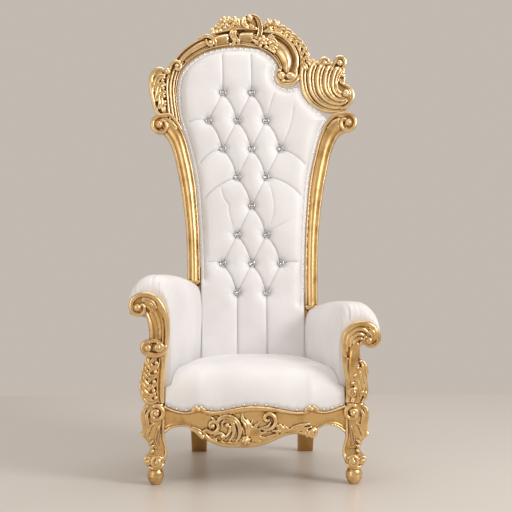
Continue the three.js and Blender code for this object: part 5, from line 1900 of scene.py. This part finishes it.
@dataclass
class ArmFront:
    """A carved arm front, drawn on the right side: the taller left one or the lower right one."""

    tall: bool
    voxel: float = 1.6
    most: int = 78000
    rise: float = -6.0

    def tall_front(self, carving: Carving) -> None:
        """The taller front: a dished panel between two fillets, clasped by a scroll over leaves."""
        inner = [
            (328, 298), (328, 362), (322, 446), (313, 505), (309, 563), (311, 608), (328, 648), (356, 682),
            (394, 700),
        ]
        outer = [
            (396, 298), (411, 348), (402, 422), (388, 471), (383, 530), (385, 572), (392, 604), (398, 626),
            (404, 646),
        ]
        low = (
            (0, 2), (0.05, 7), (0.12, 9.5), (0.19, 7), (0.23, 2), (0.27, 5), (0.31, 7.5), (0.35, 5),
            (0.4, -1), (0.56, -5), (0.72, -1), (0.8, 7), (0.88, 11.5), (0.95, 8.5), (1, 2),
        )
        carving.moulding(inner, outer, low, APRON_REAR, steps=90)
        carving.plate(volute(417, 653, 36, 36, 0, 0.9), -3, APRON_REAR - 2, 3, 36)
        carving.bar([
            (322, 500, -8), (317, 545, -9), (320, 600, -10), (334, 645, -11), (358, 677, -12),
            (390, 691, -12), (420, 688, -12), (442, 671, -12), (447, 648, -12), (439, 627, -13),
            (419, 619, -13), (402, 627, -14), (399, 646, -16), (410, 660, -18),
        ], [6, 8, 9, 10, 10.5, 11, 11, 10.5, 10, 9.5, 9, 8, 7, 5])
        carving.bead(423, 645, 15, -17)
        carving.bar([(330, 606), (344, 642), (366, 664), (392, 672)], [4, 7, 8, 6], depth=-9)
        carving.bar([(410, 672), (392, 672), (372, 662), (356, 640)], [7, 11, 10, 5], LEAF, 0.9, -14)
        carving.bar([(402, 652), (388, 654), (376, 644), (372, 628)], [6, 10, 9, 5], LEAF, 0.9, -12)
        angles = [i / 8 * math.pi for i in range(16)]
        ring = [(364 + 36 * math.cos(a), 498 + 21 * math.sin(a)) for a in angles]
        carving.plate(ring, -6, APRON_REAR - 2, 4, 40)
        carving.bar([
            (320, 512), (326, 488), (346, 474), (372, 473), (396, 483), (406, 500), (398, 517), (378, 523),
            (356, 524), (338, 517),
        ], [6, 9, 10, 10.5, 11, 11, 10, 9, 8, 6], depth=-10)
        carving.spiral(348, 501, 16, 6, 60, 1.2, [7, 8, 7, 6], 9, depth=-14, rise=5)
        carving.bead(386, 499, 14, -14, 0.9)
        carving.bar([(336, 468, -6), (333, 420, -5), (338, 360, -5), (339, 306, -4)], [4.5, 5.5, 5.5, 5])
        for points in (
            [(390, 466), (388, 446), (374, 428), (356, 430), (352, 444)],
            [(398, 444), (398, 416), (384, 396), (364, 396), (356, 412)],
            [(404, 414), (405, 384), (392, 362), (370, 360), (360, 376)],
            [(408, 382), (408, 352), (394, 330), (372, 328), (362, 344)],
            [(406, 348), (400, 322), (384, 306), (362, 306), (354, 318)],
        ):
            carving.bar(points, [6, 12, 13.5, 11, 6], LEAF, 0.75, self.rise - 1)
            x, z = points[-1]
            carving.bead(x + 4, z + 1, 7, -13)
            carving.bar([(x + 2, z + 14), (x + 16, z + 12), (x + 26, z - 2)], [4, 7, 4], LEAF, 1, -11)

    def low_front(self, carving: Carving) -> None:
        """The lower front: flutes that fan out of the volute, a bright shaft, leaves at the foot."""
        inner = [
            (327, 298), (330, 340), (328, 380), (320, 440), (316, 490), (322, 540), (338, 568), (362, 585),
            (392, 592),
        ]
        outer = [
            (394, 298), (410, 332), (405, 385), (394, 436), (381, 466), (379, 490), (385, 506), (392, 520),
            (402, 542),
        ]
        low = (
            (0, 2), (0.05, 7), (0.12, 9.5), (0.2, 7), (0.25, 2), (0.3, 4), (0.42, 10), (0.58, 12),
            (0.74, 9), (0.8, 3), (0.86, 8), (0.93, 9.5), (1, 2),
        )
        carving.moulding(inner, outer, low, APRON_REAR, steps=90)
        carving.plate(volute(414, 542, 35, 35, 0, 0.9), -3, APRON_REAR - 2, 3, 36)
        carving.bar([
            (328, 462, -8), (321, 500, -9), (326, 545, -10), (345, 572, -11), (376, 585, -12),
            (408, 583, -12), (433, 567, -12), (446, 542, -12), (442, 517, -13), (424, 505, -13),
            (405, 509, -14), (395, 525, -15), (402, 542, -17),
        ], [6, 8, 9.5, 10, 10.5, 10.5, 10.5, 10, 9, 8.5, 8, 7, 5])
        for points, radius in (
            ([(331, 484), (332, 518), (343, 547), (366, 565), (392, 565), (410, 550)], 7.5),
            ([(342, 500), (345, 522), (356, 540), (375, 549), (396, 541)], 7.5),
            ([(354, 508), (359, 522), (370, 531), (385, 531), (396, 522)], 6.5),
        ):
            size = [radius * s for s in (0.6, 1, 1.1, 1.1, 1, 0.7)]
            carving.bar(points, size, ROUND, 1.1, self.rise - 6)
        carving.bars((
            ([(412, 572), (428, 562), (436, 544), (430, 526)], [6, 9.5, 9, 5]),
            ([(406, 556), (418, 552), (425, 540), (420, 528)], [6, 8.5, 8, 5]),
        ), LEAF, 1, -15)
        carving.bead(411, 524, 14, -17)
        carving.bar([(334, 462, -7), (330, 426, -6), (338, 380, -5), (340, 310, -5)], [4, 5.5, 5.5, 5])
        carving.bar([
            (368, 520, -5), (361, 490, -5), (356, 447, -5), (353, 400, -5), (350, 356, -5),
        ], [10, 18, 19, 12, 6], flat=0.5)
        for points, radii in (
            ([(380, 452), (392, 440), (399, 412), (402, 380)], [6, 12, 12, 6]),
            ([(370, 428), (380, 418), (390, 390), (397, 352)], [5, 11, 13, 7]),
            ([(358, 400), (370, 392), (384, 362), (392, 322)], [5, 11, 13.5, 8]),
            ([(350, 372), (362, 366), (374, 342), (378, 308)], [5, 10, 12, 8]),
            ([(386, 340), (398, 334), (402, 312)], [5, 9, 7]),
        ):
            carving.bar(points, radii, LEAF, 0.8, self.rise - 1)
            x, z = points[0]
            carving.bead(x + 2, z - 2, 6, -12)
        carving.spiral(353, 334, 15, 6, 40, 1.2, [7, 8, 7, 5], 8, depth=-11, rise=5)

    def build(self) -> None:
        """Makes the front."""
        carving = Carving(lambda x: np.full_like(np.asarray(x, float), FRONT_Y))
        (self.tall_front if self.tall else self.low_front)(carving)
        side = "left" if self.tall else "right"
        item = carving.fused(f"carved_arm_front_{side}", self.voxel, self.most, self.tall)
        finished(item, body_place(), GOLD, [f"arm_front_{side}"])


# Where each gather lies round the arm's section, how deep it is, and how far back it runs.
LEFT_GATHERS = (
    (0.2, 1.4, 34), (0.245, 1.8, 40), (0.3, 2.0, 46), (0.35, 1.6, 40), (0.4, 2.2, 46), (0.452, 3.0, 110),
    (0.49, 1.8, 40), (0.52, 2.0, 34), (0.55, 1.8, 36), (0.6, 3.2, 80), (0.64, 1.8, 34), (0.68, 1.6, 30),
)
RIGHT_GATHERS = (
    (0.22, 1.6, 40), (0.27, 2.6, 90), (0.32, 1.6, 40), (0.37, 1.8, 44), (0.42, 2.0, 50), (0.47, 3.4, 120),
    (0.505, 1.8, 40), (0.54, 2.0, 44), (0.575, 1.8, 38), (0.61, 1.8, 34), (0.65, 1.6, 30),
)


@dataclass
class ArmPad:
    """A rolled, upholstered arm, drawn on the right side, with gathers round its carved front."""

    side: str
    top: float
    gathers: tuple[tuple[float, float, float], ...]
    width: float
    rear_width: float = 118
    length: float = 440
    girth: float = 420
    drawn_width: float = 155
    section: Points = (
        (0, 170), (0.006, 128), (0.02, 92), (0.052, 60), (0.1, 36), (0.165, 18.5), (0.25, 7.5), (0.34, 2),
        (0.43, 0), (0.53, 0), (0.62, 2), (0.71, 7), (0.8, 16), (0.88, 28), (0.95, 44), (0.99, 62), (1, 78),
        (0.99, 93), (0.94, 110), (0.85, 124), (0.74, 135), (0.62, 146), (0.53, 158), (0.5, 172),
    )
    rows: int = 96
    front_roll: float = 0.15
    front_inset: float = 58
    foot_mark: float = -900.0

    def build(self) -> None:
        """Makes the arm pad, swells it a little and draws its gathers in."""
        rim = Line([(u * self.drawn_width, -v) for u, v in self.section]).even(3.2)[:, [0, 2]]
        corners = np.vstack([[(0.0, self.foot_mark)], rim, [(self.drawn_width / 2, self.foot_mark)]])
        corners[:, 0] /= self.drawn_width  # place() lifts the two at foot_mark up to bottom
        last = len(corners) - 1
        numbers = np.stack([np.arange(last + 1, dtype=float), np.zeros(last + 1)], axis=1)
        bottom = LEG_TOP + CLEARANCE
        carving = Carving()

        def place(number: Array, _v: Array, along: Array) -> Array:
            """A corner of the pad."""
            corner = np.rint(number).astype(int)
            u, v = corners[corner].T
            turn = np.clip((corner - 1) / (last - 2), 0, 1)
            share = along ** 1.6
            distance = share * self.length
            inset = self.front_inset * (1 - dome(share / self.front_roll))
            upper = ease(v, -170, -60)
            z = np.maximum(self.top - ARM_FALL * share**2 + v - inset * upper, bottom)
            y = PAD_FRONT + (back_face(z) - PAD_FRONT) * share
            draw = np.zeros_like(u)
            for at, deep, long in self.gathers:
                gap = np.abs(turn - at) * self.girth / (3.8 + distance * 0.04)
                draw = draw + deep * np.exp(-(gap ** 2) - (distance / long) ** 2) * upper
            out_x, out_z = (u - 0.45) * self.drawn_width, v + 95.0
            size = np.hypot(out_x, out_z) + 1e-6
            swell = np.where(v == self.foot_mark, 0, 1.2 * np.sin(share * math.pi) - draw)
            width = self.width + (self.rear_width - self.width) * share
            x = inner_face(y) + u * width - np.where(u > 0.3, 0.5, 0.0) * inset * (0.12 + 0.22 * upper)
            x, z = x + swell * out_x / size, z + swell * out_z / size
            return np.stack([x, y, np.maximum(z, bottom)], axis=1)

        carving.loft(numbers, self.rows, place)
        if self.side == "left":
            mirrored(carving.bm)
        outward(carving.bm)
        item = as_object(f"rolled_arm_{self.side}", carving.bm)
        finished(item, body_place(), LEATHER, [f"arm_pad_{self.side}"])


@dataclass
class Seat:
    """The domed seat, tight between the arms, nailed along the top of the front rail."""

    front: float = -353.0
    rear: float = 118
    height: float = 436
    rear_fall: float = 10
    tucked_half: float = 327
    bowed_length: float = 150
    swell_length: float = 155
    columns: int = 120
    rows: int = 90
    nails: tuple[float, ...] = (
        -313, -285, -249, -221, -193, -159, -118, -78, -40, 0, 39, 75, 112, 149, 186, 214, 249, 279, 311,
    )

    def shape(self, u: Array, v: Array) -> Array:
        """The top's points, from the left (-1) to the right (1) and from the nailed edge (0) back (1)."""
        y = self.front + (self.rear - self.front) * v ** 1.35
        back = y - self.front
        bowed = np.clip(1 - back / self.bowed_length, 0, 1)
        x = u * (inner_face(np.maximum(y, PAD_FRONT)) - 0.6 + 20 * ease(-y, -PAD_FRONT, 337))
        y = y + (bow(x) - FRONT_Y) * bowed
        swell = np.sqrt(1 - (1 - np.clip(back / self.swell_length, 0, 1)) ** 2.5)
        across = 1 - 0.1 * np.abs(u) ** 2.7 - 0.04 * np.abs(u) ** 12
        edge = rail_top(x) + 1.5
        crown = self.height - self.rear_fall * ease(back, 330, 470)
        z = edge + (SEAT_BOTTOM + (crown - SEAT_BOTTOM) * across - edge) * swell
        return np.stack([x, y, z], axis=1)

    def build(self) -> None:
        """Makes the seat, swells it, and pulls its front edge down at each nail."""
        bm = bmesh.new()
        bmesh.ops.create_grid(bm, x_segments=self.columns, y_segments=self.rows, size=1)
        u = np.array([v.co.x for v in bm.verts])
        v = np.array([(vert.co.y + 1) / 2 for vert in bm.verts])
        spots = self.shape(np.sign(u) * np.abs(u) ** 0.9, v)
        pull = np.zeros(len(u))
        for x in self.nails:
            pull = np.maximum(pull, np.exp(-(((spots[:, 0] - x) / 8) ** 2)))
        low = rail_top(spots[:, 0])
        near = np.exp(-(((spots[:, 2] - low) / 9) ** 2)) * (v < 0.2)
        spots[:, 1] -= (2.5 - 3.0 * pull) * near
        for vert, spot in zip(bm.verts, spots):
            vert.co = spot
        grown = bmesh.ops.extrude_edge_only(bm, edges=open_edges(bm))["geom"]
        for vert in verts_in(grown):
            if abs(vert.co.x) < self.tucked_half:
                vert.co.y = max(vert.co.y, PAD_FRONT + 1)
        low = [g for g in grown if isinstance(g, BMEdge)]
        for vert in verts_in(bmesh.ops.extrude_edge_only(bm, edges=low)["geom"]):
            vert.co.z = SEAT_BOTTOM
        close_up(bm)
        finished(as_object("domed_seat", bm), body_place(), LEATHER, ["seat_cushion"])
        xs = np.array(self.nails)
        stands = np.stack([xs, bow(xs) - 2.0, rail_top(xs) + 6.5], axis=1)
        nail_row("seat_nails", stands, np.tile([1.0, 0, 0], (len(xs), 1)), body_place(), 3.8, 1.15)


# ---- the studio ----


@dataclass
class Studio:
    """The floor, the soft lights and the camera."""

    floor_half: float = 1.9
    camera_spot: tuple[float, float, float] = (-0.076, -4.4445, 0.920)
    camera_turn: tuple[float, float, float] = (88.74, 0.0, -1.10)
    lens: float = 79.875
    sensor: float = 36
    aim: tuple[float, float, float] = (0, 0, 0.9)
    sky_colour: str = "#C8BFB6"
    sky_strength: float = 0.94
    lights: tuple[tuple[str, tuple[float, float, float], tuple[float, float], float], ...] = (
        ("key_light", (3.3, -2.3, 2.9), (1.5, 1.9), 98.0),
        ("fill_light", (-3.0, -3.0, 1.5), (1.6, 2.6), 22.0),
        ("top_light", (0.2, 0.4, 4.2), (2.6, 2.6), 38.0),
    )

    def floor(self) -> None:
        """A plain pale floor."""
        bm = bmesh.new()
        bmesh.ops.create_grid(bm, x_segments=1, y_segments=1, size=self.floor_half)
        item = as_object("floor", bm)
        item.data.materials.append(PaleFloor().material())

    def light(self) -> None:
        """Large soft lights round a pale room."""
        world = bpy.data.worlds.new("studio")
        world.use_nodes = True
        sky = world.node_tree.nodes["Background"]
        sky.inputs["Color"].default_value = linear(self.sky_colour)
        sky.inputs["Strength"].default_value = self.sky_strength
        bpy.context.scene.world = world
        for name, spot, size, power in self.lights:
            lamp = bpy.data.lights.new(name, "AREA")
            lamp.shape = "RECTANGLE"
            lamp.size, lamp.size_y = size
            lamp.energy = power
            item = bpy.data.objects.new(name, lamp)
            item.location = spot
            item.rotation_euler = (Vector(self.aim) - Vector(spot)).to_track_quat("-Z", "Y").to_euler()
            bpy.context.scene.collection.objects.link(item)

    def camera(self) -> None:
        """A long lens at chest height, a little left of the middle."""
        lens = bpy.data.cameras.new("camera")
        lens.lens = self.lens
        lens.sensor_width = self.sensor
        item = bpy.data.objects.new("camera", lens)
        item.location = self.camera_spot
        item.rotation_euler = [math.radians(a) for a in self.camera_turn]
        bpy.context.scene.collection.objects.link(item)
        bpy.context.scene.camera = item

    def build(self) -> None:
        """Sets the scene up."""
        self.floor()
        self.light()
        self.camera()
        bpy.context.scene.view_settings.view_transform = "Standard"


def main() -> None:
    """Builds every sub-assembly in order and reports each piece."""
    logging.basicConfig(level=logging.INFO, format="%(name)s %(message)s")
    Studio().build()
    parts = (
        Crest(),
        BackPost("back_post_left", LEFT_POST_FOOT, True, moved=(-14, -10)),
        BackPost("back_post_right", RIGHT_POST_FOOT),
        TuftedBack(),
        BackBoard(),
        Buttons(),
        FrontRail(),
        FrontLeg("front_leg_left", True),
        FrontLeg("front_leg_right"),
        PlainFrame(),
        ArmFront(True),
        ArmFront(False),
        ArmPad("left", LEFT_ARM_TOP, LEFT_GATHERS, 162),
        ArmPad("right", RIGHT_ARM_TOP, RIGHT_GATHERS, 158),
        Seat(),
    )
    for part in parts:
        part.build()


if __name__ == "__main__":
    main()
